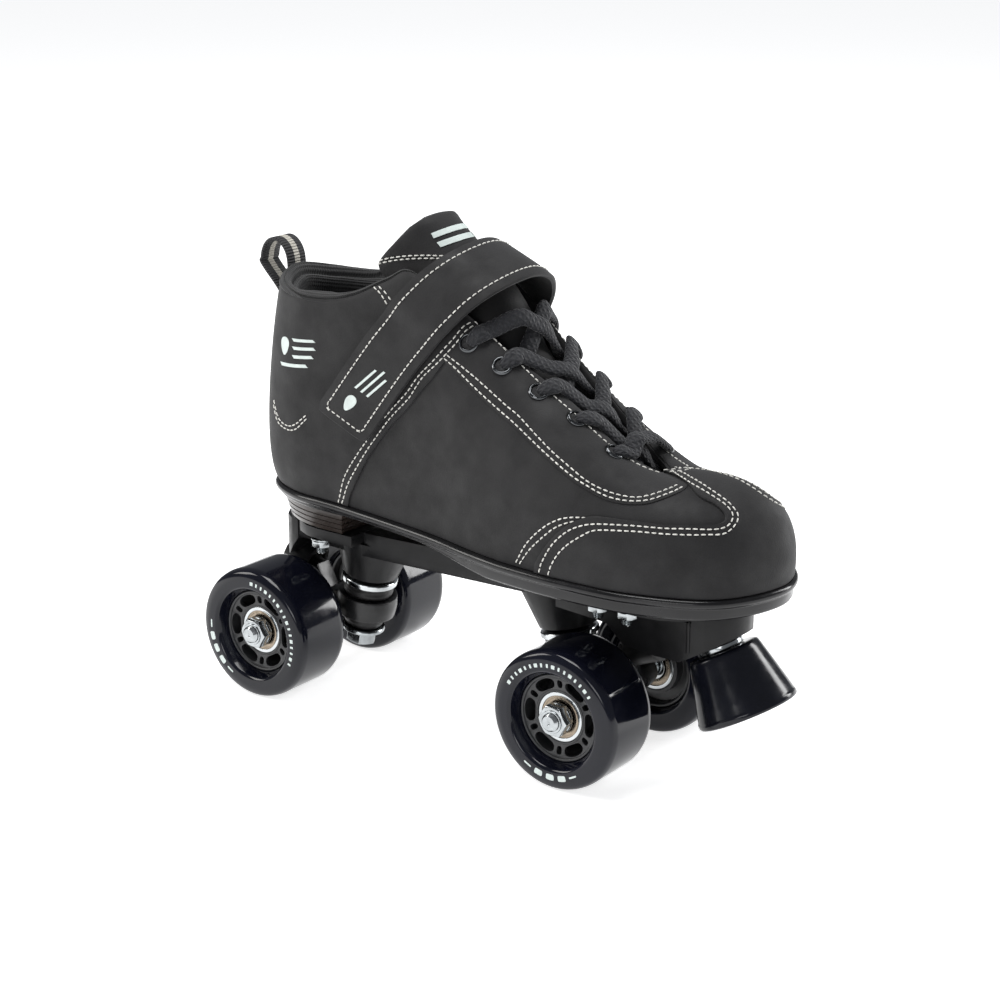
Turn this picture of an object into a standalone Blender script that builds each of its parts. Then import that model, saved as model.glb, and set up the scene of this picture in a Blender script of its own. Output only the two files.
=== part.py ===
"""A quad roller skate for the right foot: a lace-up boot with an ankle strap, a moulded plate, two sprung
trucks, four wheels and a toe stop.

The skate stands on its wheels at Z = 0, its toe points to +X and the outer side of the foot faces -Y. Pieces
are laid out around the point midway between the two axles, and everything hangs from one empty that brings
the middle of the skate's bounding box to the origin. The rear truck is the front one turned half round.
"""

import math

import bmesh
import bpy
import numpy as np
from mathutils import Matrix, Vector
from mathutils.bvhtree import BVHTree

MM = 0.001
GAP = 0.3 * MM  # air left between two pieces that touch on the real skate
MID_WHEELBASE_X = -25.386 * MM  # the point between the axles, from the middle of the bounding box

# Wheels and axles
AXLE_X = 84.65 * MM
AXLE_Z = 31.0 * MM
AXLE_R = 4.0 * MM
AXLE_HALF = 55.0 * MM
WHEEL_R = 31.0 * MM
WHEEL_SIDES = 32
WHEEL_IN, WHEEL_OUT = 21.2 * MM, 53.4 * MM
BEARING_R = 11.0 * MM
BEARING_BORE_R = 4.35 * MM
BEARING_WIDTH = 7.0 * MM
BEARING_PLANES = (25.0 * MM, 39.3 * MM)  # inner end of each bearing, from the skate's centre plane
CORE_R = 17.8 * MM  # where the hub ends and the tyre begins

# Trucks, in the front truck's place
KINGPIN_TILT = math.radians(11.0)
RING_CENTRE = Vector((59.5, 0.0, 37.5)) * MM
RING_HALF = 5.0 * MM
RING_R, RING_BORE_R = 14.0 * MM, 6.6 * MM
UPPER_CUSHION = 7.6 * MM
LOWER_CUSHION = 6.8 * MM
KINGPIN_R = 4.0 * MM
TOP_WASHER_R, TOP_WASHER = 13.2 * MM, 2.4 * MM
LOW_WASHER_R, LOW_WASHER = 10.4 * MM, 2.0 * MM
NUT_HEIGHT = 6.4 * MM
PIVOT_TILT = math.radians(22.0)
PIVOT_PIN_R = 3.6 * MM
PIVOT_CUP_R = 6.2 * MM
PIVOT_START, PIVOT_TIP = 30.0 * MM, 42.0 * MM  # along the steering axis, from the ring's centre

# Plate and its fastenings
PLATE_TOP_HEEL, PLATE_TOP_TOE = 78.7 * MM, 81.7 * MM
PLATE_HALF = 18.0 * MM
BOLT_R = 2.5 * MM
BOLT_HEAD_R, BOLT_HEAD = 5.0 * MM, 1.6 * MM
BOLT_Y = 22.5 * MM
HEEL_BOLTS_X = (-67.0 * MM,)
TOE_BOLTS_X = (87.0 * MM, 102.0 * MM)
FLANGE = 5.0 * MM

# Toe stop: a cone on an axis that leans forward
STOP_TILT = math.radians(28.4)
STOP_TOP = Vector((135.3, 0.0, 59.0)) * MM
STOP_TOP_R, STOP_BASE_R, STOP_HEIGHT = 15.8 * MM, 22.0 * MM, 28.6 * MM

# Boot
SOLE_BOTTOM = 82.3 * MM
HEEL_BOTTOM = 79.0 * MM
ARCH_BOTTOM = 89.5 * MM
SOLE_LIP = 2.5 * MM  # how far the sole stands out past the upper
UPPER_WALL = 2.6 * MM
LACE_R = 2.0 * MM
EYELET_R, EYELET_HOLE_R = 4.4 * MM, 2.9 * MM
FACING = 1.0 * MM  # the leather facing that the eyelets are set in
STRAP_THICK = 2.4 * MM
STRAP_REST = 1.9 * MM  # the free end lies this far off the upper, on its hook-and-loop patch

# The upper's lower edge, from the middle of the heel to the tip of the toe: x and y on each side of the foot.
# Each of these stations rises to the point with the same number on TOP_EDGE.
OUTER_EDGE = np.array([(-102, 0), (-95, -18), (-74, -29), (-45, -31), (-20, -33), (0, -35), (15, -37),
                       (35, -41), (60, -44), (85, -45), (116, -42), (148, -27), (160.5, 4)]) * MM
INNER_EDGE = np.array([(-102, 0), (-95, 18), (-74, 29), (-45, 30), (-20, 30), (0, 31), (15, 33),
                       (35, 36), (60, 40), (85, 43), (117, 42), (147.5, 29), (160.5, 4)]) * MM
# The collar's rim and the edges of the lace opening: x, distance from the centre plane, z.
TOP_EDGE = np.array([(-97, 0, 193), (-90, 18, 190), (-73, 29, 187.5), (-54, 31.5, 188), (-37, 31, 192.5),
                     (-22, 28, 200), (-8, 25, 205), (22, 21.5, 187.5), (45, 17.5, 171.5), (66, 14, 158.5),
                     (90, 10.8, 140.5), (102, 5.5, 132.5), (105, 0, 131.5)]) * MM
INNER_DROP = np.array([0, 0, 0, 0, 0, 0, 0, 0.5, 2, 3.5, 4, 1.5, 0]) * MM  # how much lower the inner side is
# How each station is filled out between those two edges: the reach of its lower and upper curve handles,
# how much the upper handle is lifted, and how far the lower one stands out.
LOW_REACH = np.array([.12, .15, .25, .38, .5, .5, .55, .6, .65, .68, .72, .85, .92])
TOP_REACH = np.array([.4, .4, .4, .4, .4, .4, .4, .42, .45, .48, .52, .62, .7])
TOP_LIFT = np.array([0, 0, 0, 0, -.02, -.04, -.05, -.06, -.06, -.06, -.04, .05, .15])
STAND_OUT = np.array([11, 9.5, 6, 3, 0, 0, 0, 1, 2, 3, 3, 3, 3.5]) * MM
INNER_FALL = np.array([0, 0, 0, 0, 0, .02, .04, .1, .18, .21, .2, .08, 0])  # the inner side fills out less
STATION_STEPS = 2  # columns of the upper for each station
UPPER_ROWS = 9

# The tongue: its middle line (x, z) and its edge (x, y, z), from the toe up.
TONGUE = np.array([(101, 125.5, 100, 6, 123), (88, 136.5, 86, 9, 130.5), (75, 146.5, 72, 11.5, 140),
                   (60, 158.5, 56, 13.5, 150.5), (49, 166.5, 43, 14.5, 158), (40, 176, 30, 16, 166.5),
                   (30, 193, 12, 18.5, 179), (16, 208.5, -12, 20, 190.5), (2, 218.5, -32, 21.5, 203),
                   (-13, 229, -24, 23, 217)]) * MM
TONGUE_THICK = 5.0 * MM
# The strap's middle line over the instep, from its free end on the outer side to the inner side.
STRAP_LINE = np.array([(-42, -40, 134.5), (-27, -40, 154), (-12, -38, 173), (2, -34.5, 189.5),
                       (12, -29, 201.5), (20, -18, 209.5), (24, 0, 213), (22, 16, 208.5), (15, 27, 197),
                       (5, 33, 181), (-1, 37, 163), (-3, 39, 146)]) * MM
STRAP_ACROSS = Vector((0.92, 0.0, -0.39)).normalized()
STRAP_HALF = 15.0 * MM
STRAP_HINGE_AT = 3  # the point of STRAP_LINE where the free end starts to peel away
EYELETS = np.array([(91.7, 19.5), (73.9, 21.5), (56.5, 24.0), (39.5, 26.3), (23.6, 28.3)]) * MM


# ---------------------------------------------------------------- helpers
def clear_scene():
    for obj in list(bpy.data.objects):
        bpy.data.objects.remove(obj, do_unlink=True)


def new_collection(name):
    found = bpy.data.collections.new(name)
    bpy.context.scene.collection.children.link(found)
    return found


def material(name, colour, roughness, metallic=0.0):
    made = bpy.data.materials.new(name)
    made.use_nodes = True
    shader = made.node_tree.nodes["Principled BSDF"]
    shader.inputs["Base Color"].default_value = (*colour, 1.0)
    shader.inputs["Roughness"].default_value = roughness
    shader.inputs["Metallic"].default_value = metallic
    return made


def empty(name, place, parent=None):
    """An empty at a point given from the middle of the wheelbase."""
    made = bpy.data.objects.new(name, None)
    bpy.context.scene.collection.objects.link(made)
    made.empty_display_size = 0.01
    made.parent = parent
    made.location = place - (Vector(parent["place"]) if parent else Vector())
    made["place"] = place
    return made


def node(name, mesh, colour, roughness, metallic=0.0, parent=None):
    """One piece of the skate, its mesh given around the middle of the wheelbase."""
    parent = parent or SKATE
    mesh.transform(Matrix.Translation(-Vector(parent["place"])))
    mesh.materials.clear()
    mesh.materials.append(material(name, colour, roughness, metallic))
    mesh.shade_smooth()
    mesh.set_sharp_from_angle(angle=math.radians(35))
    made = bpy.data.objects.new(name, mesh)
    PIECES.objects.link(made)
    made.parent = parent
    return made


def evaluated(obj):
    """The object's mesh with its modifiers applied; the object itself is removed."""
    bpy.context.view_layer.update()
    graph = bpy.context.evaluated_depsgraph_get()
    mesh = bpy.data.meshes.new_from_object(obj.evaluated_get(graph), depsgraph=graph)
    mesh.transform(obj.matrix_world)
    bpy.data.objects.remove(obj, do_unlink=True)
    return mesh


def scratch(mesh, place=Matrix()):
    made = bpy.data.objects.new("guide", mesh)
    CUTTERS.objects.link(made)
    made.matrix_world = place
    made.hide_render = True
    made.display_type = "WIRE"
    return made


def turned(profile, steps, start=0.0):
    """A turned solid: (radius, height) points that run down its outer side, screwed round the Z axis."""
    mesh = bpy.data.meshes.new("profile")
    closed = all(radius > 0 for radius, _ in (profile[0], profile[-1]))
    edges = [(i, i + 1) for i in range(len(profile) - 1)]
    if closed:
        edges.append((len(profile) - 1, 0))
    turn = Matrix.Rotation(start, 3, "Z")
    mesh.from_pydata([turn @ Vector((r, 0, z)) for r, z in profile], edges, [])
    obj = scratch(mesh)
    screw = obj.modifiers.new("Screw", "SCREW")
    screw.steps = steps
    screw.render_steps = steps
    screw.use_merge_vertices = True
    screw.merge_threshold = 1e-5
    return evaluated(obj)


def rod(radius, low, high, steps):
    return turned([(0, high), (radius, high), (radius, low), (0, low)], steps)


def ring(outer, bore, low, high, steps):
    return turned([(outer, high), (outer, low), (bore, low), (bore, high)], steps)


def extruded(outline, low, high, plane="XY"):
    """A flat outline as a filled curve, extruded from low to high along the plane's normal."""
    curve = bpy.data.curves.new("outline", "CURVE")
    curve.dimensions = "2D"
    curve.fill_mode = "BOTH"
    curve.extrude = (high - low) / 2
    spline = curve.splines.new("POLY")
    spline.points.add(len(outline) - 1)
    for point, (across, up) in zip(spline.points, outline):
        point.co = (across, up, 0, 1)
    spline.use_cyclic_u = True
    turn = Matrix() if plane == "XY" else Matrix.Rotation(math.radians(90), 4, "X")
    middle = (low + high) / 2
    shift = Vector((0, 0, middle)) if plane == "XY" else Vector((0, -middle, 0))
    mesh = evaluated(scratch(curve, Matrix.Translation(shift) @ turn))
    return welded(mesh)


def welded(mesh, distance=1e-6):
    work = bmesh.new()
    work.from_mesh(mesh)
    bmesh.ops.remove_doubles(work, verts=work.verts, dist=distance)
    bmesh.ops.recalc_face_normals(work, faces=work.faces)
    work.to_mesh(mesh)
    work.free()
    return mesh


def placed(mesh, *matrices):
    """Copies of a mesh at each of the matrices, joined as separate bodies of one mesh."""
    work = bmesh.new()
    for matrix in matrices:
        copy = mesh.copy()
        copy.transform(matrix)
        work.from_mesh(copy)
        bpy.data.meshes.remove(copy)
    joined = bpy.data.meshes.new("group")
    work.to_mesh(joined)
    work.free()
    return joined


def combined(mesh, others, operation="UNION"):
    obj = scratch(mesh)
    for other in others:
        boolean = obj.modifiers.new("Boolean", "BOOLEAN")
        boolean.operation = operation
        boolean.object = scratch(other)
    cutters = [modifier.object for modifier in obj.modifiers]
    result = evaluated(obj)
    for cutter in cutters:
        bpy.data.objects.remove(cutter, do_unlink=True)
    return result


def smooth(points, steps, closed=False):
    """Points on a Catmull-Rom curve: steps of them for each span, the given points among them."""
    given = np.asarray(points, float)
    if closed:
        padded = np.vstack([given[-1], given, given[0], given[1]])
    else:
        padded = np.vstack([2 * given[0] - given[1], given, 2 * given[-1] - given[-2]])
    found = []
    for i in range(1, len(padded) - 2):
        a, b, c, d = padded[i - 1:i + 3]
        for t in np.arange(steps) / steps:
            found.append(0.5 * (2 * b + (c - a) * t + (2 * a - 5 * b + 4 * c - d) * t ** 2
                                + (3 * b - a - 3 * c + d) * t ** 3))
    if not closed:
        found.append(given[-1])
    return np.array(found)


def grid_mesh(rows, closed):
    """Quads between rows of points; closed rows join their last point to their first."""
    mesh = bpy.data.meshes.new("grid")
    count = len(rows[0])
    spans = count if closed else count - 1
    faces = [(r * count + i, r * count + (i + 1) % count, (r + 1) * count + (i + 1) % count,
              (r + 1) * count + i) for r in range(len(rows) - 1) for i in range(spans)]
    mesh.from_pydata([Vector(point) for row in rows for point in row], [], faces)
    return mesh


def solidified(mesh, thickness, even=False):
    """A shell whose outer face is the given surface."""
    obj = scratch(mesh)
    wall = obj.modifiers.new("Solidify", "SOLIDIFY")
    wall.thickness = thickness
    wall.offset = -1.0
    wall.use_even_offset = even
    return evaluated(obj)


def stacked(rings):
    """A closed solid through rings of 2n points, each capped with strips between its two sides."""
    mesh = grid_mesh(rings, closed=True)
    work = bmesh.new()
    work.from_mesh(mesh)
    work.verts.ensure_lookup_table()
    count = len(rings[0])
    half = count // 2
    for first, flip in ((0, False), ((len(rings) - 1) * count, True)):
        for i in range(half):
            corners = [i, i + 1, (count - i - 1) % count, (count - i) % count]
            corners = list(dict.fromkeys(corners))
            corners = corners[::-1] if flip else corners
            work.faces.new([work.verts[first + c] for c in corners])
    bmesh.ops.recalc_face_normals(work, faces=work.faces)
    work.to_mesh(mesh)
    work.free()
    return mesh


def inset(loop, distance):
    """A closed loop of (x, y) points moved inwards."""
    after, before = np.roll(loop, -1, axis=0), np.roll(loop, 1, axis=0)
    along = after - before
    normal = np.stack([-along[:, 1], along[:, 0]], 1) / np.linalg.norm(along, axis=1)[:, None]
    return loop + normal * distance


def tilted(tilt, origin):
    """A frame at origin whose +Z leans by tilt towards +X."""
    return Matrix.Translation(origin) @ Matrix.Rotation(tilt, 4, "Y")


# ---------------------------------------------------------------- boot
def foot_loop():
    """The upper's lower edge as a closed loop, counter-clockwise from the middle of the heel."""
    return smooth(np.vstack([OUTER_EDGE, INNER_EDGE[-2:0:-1]]), STATION_STEPS, closed=True)


def both_sides(values):
    """A table of stations carried round the foot like foot_loop."""
    return smooth(np.concatenate([values, values[-2:0:-1]]), STATION_STEPS, closed=True)


def sole_top(x):
    """Height of the sole's top face: highest under the heel."""
    return np.interp(x, np.array([-60, 0, 50]) * MM, np.array([96, 94, 92]) * MM)


def sole_bottom(x):
    """Height of the sole's underside, which rises over the arch."""
    return np.interp(x, np.array([-28, 0, 42]) * MM, np.array([ARCH_BOTTOM, 88 * MM, SOLE_BOTTOM]))


def upper_rows(first=0.0, last=1.0, rows=UPPER_ROWS):
    """Rows of points up the upper, from its lower edge to its rim."""
    low = foot_loop()
    half = (len(OUTER_EDGE) - 1) * STATION_STEPS
    side = np.concatenate([-np.ones(half + 1), np.ones(half - 1)])
    inner_top = TOP_EDGE[-2:0:-1] - np.column_stack([0 * INNER_DROP, 0 * INNER_DROP, INNER_DROP])[-2:0:-1]
    top = smooth(np.vstack([TOP_EDGE * (1, -1, 1), inner_top]), STATION_STEPS, closed=True)
    foot = np.column_stack([low, sole_top(low[:, 0]) + GAP])
    height = top[:, 2] - foot[:, 2]
    out = foot[:, :2] - inset(low, 1.0)
    fall = both_sides(INNER_FALL[:, None])[:, 0] * (side > 0)
    reach = both_sides(LOW_REACH[:, None])[:, 0] - fall
    stand = both_sides(STAND_OUT[:, None])[:, 0]
    lower = foot + np.column_stack([out * stand[:, None], height * reach])
    span = (foot - top)[:, :2] * both_sides(TOP_REACH[:, None])
    lift = both_sides(TOP_LIFT[:, None])[:, 0] - fall * 0.7
    upper = top + np.column_stack([span, height * lift])
    found = []
    for t in np.linspace(first, last, rows):
        found.append((1 - t) ** 3 * foot + 3 * t * (1 - t) ** 2 * lower + 3 * t ** 2 * (1 - t) * upper
                     + t ** 3 * top)
    return np.array(found)


def surface_under(tree, x, y, z, towards):
    """Where a straight line from outside meets the upper, and the surface's normal there."""
    start = Vector((x, y, z)) - Vector(towards) * 0.1
    point, normal, _, _ = tree.ray_cast(start, Vector(towards))
    return point, normal


def upper_tree():
    mesh = grid_mesh(upper_rows(), closed=True)
    work = bmesh.new()
    work.from_mesh(mesh)
    bmesh.ops.recalc_face_normals(work, faces=work.faces)
    tree = BVHTree.FromBMesh(work)
    work.free()
    return tree


def make_upper(frames):
    shell = solidified(grid_mesh(upper_rows(), closed=True), UPPER_WALL)
    holes = placed(rod(EYELET_HOLE_R + GAP, -8 * MM, 5 * MM, 8), *frames)
    return combined(shell, [holes], "DIFFERENCE")


def make_collar_padding():
    """The padded lining inside the collar, from one end of the lace opening round the heel to the other."""
    rows = upper_rows(0.62, 0.985, 4)
    last = 4 * STATION_STEPS + 1
    count = rows.shape[1]
    around = [i % count for i in range(-last, last + 1)]
    band = grid_mesh(rows[:, around], closed=False)
    work = bmesh.new()
    work.from_mesh(band)
    for vert in work.verts:
        vert.co -= vert.normal * (UPPER_WALL + GAP)
    work.to_mesh(band)
    work.free()
    return solidified(band, 4.5 * MM)


def make_insole():
    loop = inset(foot_loop(), UPPER_WALL + 1.2 * MM)
    heights = sole_top(loop[:, 0])
    return stacked([np.column_stack([loop, heights + GAP]), np.column_stack([loop, heights + 3.5 * MM])])


def make_outsole():
    """A cup sole with a lip round its top edge and a tapered heel, drilled for the plate's bolts."""
    edge = foot_loop()
    levels = [(1.5 * MM, 0.0, 0.0), (-1.2 * MM, 0.0, 2.0 * MM), (-1.8 * MM, 1.0, -3.2 * MM),
              (-SOLE_LIP, 1.0, -2.2 * MM), (-SOLE_LIP, 1.0, -0.8 * MM), (-1.2 * MM, 1.0, 0.0)]
    rings = []
    for distance, share, extra in levels:
        loop = inset(edge, distance)
        low, high = sole_bottom(loop[:, 0]), sole_top(loop[:, 0])
        rings.append(np.column_stack([loop, low + (high - low) * share + extra]))
    slab = stacked(rings)
    outline = inset(edge, 0.5 * MM)
    heel = outline[outline[:, 0] < -46 * MM]
    split = len(heel) // 2 + 1  # the heel's two sides, each read from the back forwards
    centre = np.array([-74 * MM, 0.0])
    rings = []
    for z, scale in ((HEEL_BOTTOM, 0.86), (90 * MM, 0.97), (93 * MM, 0.97)):
        shrunk = centre + (heel - centre) * scale
        rings.append([(*point, z) for point in shrunk])
    block = bpy.data.meshes.new("heel")
    work = bmesh.new()
    loops = [[work.verts.new(p) for p in np.roll(ring_points, -split, axis=0)] for ring_points in rings]
    count = len(heel)
    for low, high in zip(loops, loops[1:]):
        for i in range(count):
            work.faces.new([low[i], low[(i + 1) % count], high[(i + 1) % count], high[i]])
    work.faces.new(loops[0][::-1])
    work.faces.new(loops[-1])
    bmesh.ops.recalc_face_normals(work, faces=work.faces)
    work.to_mesh(block)
    work.free()
    sole = combined(slab, [block])
    shank = rod(BOLT_R + GAP, 60 * MM, 110 * MM, 8)
    head = rod(BOLT_HEAD_R + GAP, 0.0, 20 * MM, 8)
    holes = [placed(shank, *bolt_places(0.0))]
    holes.append(placed(head, *bolt_places(-BOLT_HEAD - 2 * GAP, on_sole=True)))
    return combined(sole, holes, "DIFFERENCE")


def bolt_spots():
    """Name and place in plan of each bolt that holds the plate to the boot."""
    rows = [("heel_bolt", x, "") for x in HEEL_BOLTS_X]
    rows += [("toe_bolt", x, f"_{i + 1}") for i, x in enumerate(TOE_BOLTS_X)]
    return [(f"{name}_{side}{row}", x, y) for name, x, row in rows
            for side, y in (("outer", -BOLT_Y), ("inner", BOLT_Y))]


def bolt_places(rise, on_sole=False):
    return [Matrix.Translation((x, y, rise + (float(sole_top(x)) if on_sole else 0.0)))
            for _, x, y in bolt_spots()]


def inner_drop(x):
    """How much lower the inner side of the lace opening lies at a point along it."""
    return np.interp(x, TOP_EDGE[6:, 0], INNER_DROP[6:])


def make_tongue():
    rows = []
    table = smooth(TONGUE, 1)
    for cx, cz, ex, ey, ez in table:
        row = []
        for share in np.linspace(-1, 1, 7):
            fall = 1 - math.sqrt(1 - 0.96 * share * share)
            fall /= 1 - math.sqrt(1 - 0.96)
            drop = inner_drop(cx) * (1 + share) / 2
            row.append((cx + (ex - cx) * fall, ey * share, cz + (ez - cz) * fall - drop))
        rows.append(row)
    return solidified(grid_mesh(rows, closed=False), TONGUE_THICK)


def strap_rows(tree, first, last):
    """Rows across the strap, laid on the upper where it follows it and arched over the instep between."""
    line = smooth(STRAP_LINE, 2)
    rows = []
    for at in range(first * 2, last * 2 + 1):
        middle = Vector(line[at])
        row = []
        for share in (-1, -0.5, 0, 0.5, 1):
            point = middle + STRAP_ACROSS * STRAP_HALF * share
            side = math.copysign(1, middle.y) if abs(middle.y) > 1e-6 else 1
            hit, normal = surface_under(tree, point.x, side * 0.1, point.z, (0, -side, 0))
            if hit is not None:
                resting = at <= 5 or at >= 19
                lifted = abs(hit.y) + STRAP_THICK + STRAP_REST * (1 if at <= 5 else 2)
                if resting or lifted > abs(point.y):
                    point = Vector((point.x, side * lifted, point.z))
            row.append(point)
        rows.append(row)
    return rows


def make_patch(tree):
    """The hook-and-loop patch sewn to the upper under the strap's free end."""
    rows = strap_rows(tree, 0, 1)
    for row in rows:
        for i, point in enumerate(row):
            row[i] = Vector((point.x, point.y + STRAP_THICK + 0.4 * MM, point.z))
    return solidified(grid_mesh(rows, closed=False), 1.0 * MM)


def make_pull_loop():
    """A webbing loop sewn to the back of the collar."""
    back = -100.8 * MM
    middle_x, middle_z = -106 * MM, 195 * MM
    path = [(back - 3.2 * MM, 166 * MM), (back - 2.4 * MM, 180 * MM)]
    for turn in np.linspace(190, 6, 12):
        angle = math.radians(turn)
        path.append((middle_x + 9.0 * MM * math.cos(angle), middle_z + 11.5 * MM * math.sin(angle)))
    width = 6.0 * MM
    rows = [[(x, -width, z), (x, width, z)] for x, z in path]
    return solidified(grid_mesh(rows, closed=False), 1.6 * MM)


def eyelet_frames(tree):
    """A frame on the upper at each eyelet, +Z out of the surface: outer side first, from the toe up."""
    frames = []
    for side in (-1, 1):
        for x, y in EYELETS:
            point, normal = surface_under(tree, x, side * y, 0.25, (0, 0, -1))
            frames.append(Matrix.Translation(point) @ normal.to_track_quat("Z", "X").to_matrix().to_4x4())
    return frames


def make_eyestay(frames):
    """The facing round the lace opening, with its ten eyelets set in it."""
    rows = upper_rows(0.72, 0.985, 5)
    middle = (len(OUTER_EDGE) - 1) * STATION_STEPS
    first = 7 * STATION_STEPS
    band = grid_mesh(rows[:, first:2 * middle - first + 1], closed=False)
    facing = solidified(shifted(band, FACING + 2 * GAP), FACING)
    rims = placed(rod(EYELET_R, FACING * 0.7, FACING + 1.0 * MM, 10), *frames)
    holes = placed(rod(EYELET_HOLE_R, -2 * MM, 5 * MM, 8), *frames)
    return combined(combined(facing, [rims]), [holes], "DIFFERENCE")


def shifted(mesh, distance):
    """The surface moved out along its own normals."""
    work = bmesh.new()
    work.from_mesh(mesh)
    bmesh.ops.recalc_face_normals(work, faces=work.faces)
    work.normal_update()
    outwards = sum(vert.normal.z + vert.normal.y * vert.co.y for vert in work.verts)
    if outwards < 0:
        bmesh.ops.reverse_faces(work, faces=work.faces)
        work.normal_update()
    for vert in work.verts:
        vert.co += vert.normal * distance
    work.to_mesh(mesh)
    work.free()
    return mesh


def tube(points, radius):
    curve = bpy.data.curves.new("tube", "CURVE")
    curve.dimensions = "3D"
    curve.bevel_depth = radius
    curve.bevel_resolution = 2
    curve.use_fill_caps = True
    spline = curve.splines.new("POLY")
    spline.points.add(len(points) - 1)
    for point, place in zip(spline.points, points):
        point.co = (*place, 1)
    return welded(evaluated(scratch(curve)), 1e-7)


def lace_stops(tree, frames):
    """For each eyelet, the lace's places on its way down: over the flap's edge, through the hole, under."""
    rim = smooth(TOP_EDGE, 8)
    stops = []
    for frame in frames:
        eyelet = frame.translation
        normal = (frame.to_3x3() @ Vector((0, 0, 1))).normalized()
        side = math.copysign(1, eyelet.y)
        nearest = min(rim, key=lambda p: (p[0] - eyelet.x - 4 * MM) ** 2)
        edge = Vector((nearest[0], side * nearest[1], nearest[2] - inner_drop(nearest[0]) * (side > 0)))
        inwards = (edge - eyelet).normalized()
        over, under = FACING + 2.0 * MM + LACE_R + GAP, UPPER_WALL + LACE_R + 2 * GAP
        middle, facing_up = surface_under(tree, *eyelet.lerp(edge, 0.6), -normal)
        stops.append({
            "over_edge": edge + facing_up * (over - 0.4 * MM) + inwards * 0.6 * MM,
            "over": middle + facing_up * over,
            "top": eyelet + normal * over + inwards * 1.6 * MM,
            "hole": eyelet + normal * (over - 3.0 * MM),
            "below": eyelet - normal * (under - 2.0 * MM),
            "under": eyelet - normal * under + inwards * 3.4 * MM,
            "under_edge": edge - normal * under + inwards * 1.0 * MM,
        })
    return stops


DOWN = ("over_edge", "over", "top", "hole", "below", "under", "under_edge")


def crossing(start, end, height):
    """Three points between two stops, each held off the tongue's crown by the lace and the given height."""
    found = []
    for share in (0.3, 0.5, 0.7):
        point = start.lerp(end, share)
        crown, ahead = np.interp([point.x, point.x + MM], TONGUE[::-1, 0], TONGUE[::-1, 1])
        crown, ahead = crown - inner_drop(point.x) / 2, ahead - inner_drop(point.x) / 2
        off = Vector((crown - ahead, 0, MM)).normalized()
        foot = Vector((point.x, point.y, crown))
        found.append(foot + off * (LACE_R + height * (1 if share == 0.5 else 0.75)))
    return found


def make_lace(tree, frames):
    """One lace along its whole route: down through the eyelets of one flap and the other in turn to the bar
    at the toe end, and back up through the rest."""
    outer, inner = lace_stops(tree, frames[:5]), lace_stops(tree, frames[5:])
    route = [outer[4][name] for name in DOWN[-2::-1]]
    sides = (inner, outer)
    for step, k in enumerate((3, 2, 1, 0)):
        stop = sides[step % 2][k]
        height = 5.6 * MM if step % 2 == 0 else 1.2 * MM
        route += crossing(route[-1], stop["under_edge"], height)
        route += [stop[name] for name in DOWN[:0:-1]]
        if k:
            route.append(stop["over_edge"])
    start, end = outer[0]["top"], inner[0]["top"]
    route += [start.lerp(end, share) + Vector((0, 0, 4.5 * MM)) for share in (0.3, 0.5, 0.7)]
    route += [inner[0][name] for name in DOWN[1:]]
    sides = (outer, inner)
    for step, k in enumerate((1, 2, 3, 4)):
        stop = sides[step % 2][k]
        height = 5.6 * MM if step % 2 == 0 else 1.2 * MM
        route += crossing(route[-1], stop["over_edge"], height)
        route += [stop[name] for name in (DOWN if k < 4 else DOWN[:-1])]
    return tube(route, LACE_R)


# ---------------------------------------------------------------- plate
def kingpin_frame():
    return tilted(-KINGPIN_TILT, RING_CENTRE)


def steering_frame():
    return tilted(math.radians(90) - PIVOT_TILT, RING_CENTRE)


def stop_frame():
    """At the toe stop's top face, +Z up its axis and back into the plate."""
    return tilted(-STOP_TILT, STOP_TOP)


def half_turn():
    return Matrix.Rotation(math.pi, 4, "Z")


def rounded_end(x_start, x_end, half, steps=8):
    """A plan outline with one square end and one half-round end."""
    centre = x_end - math.copysign(half, x_end - x_start)
    turn = math.copysign(1, x_end - x_start)
    arc = [(centre + turn * half * math.sin(a), -turn * half * math.cos(a))
           for a in np.linspace(0, math.pi, steps + 1)]
    return [(x_start, -turn * half), *arc, (x_start, turn * half)]


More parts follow.
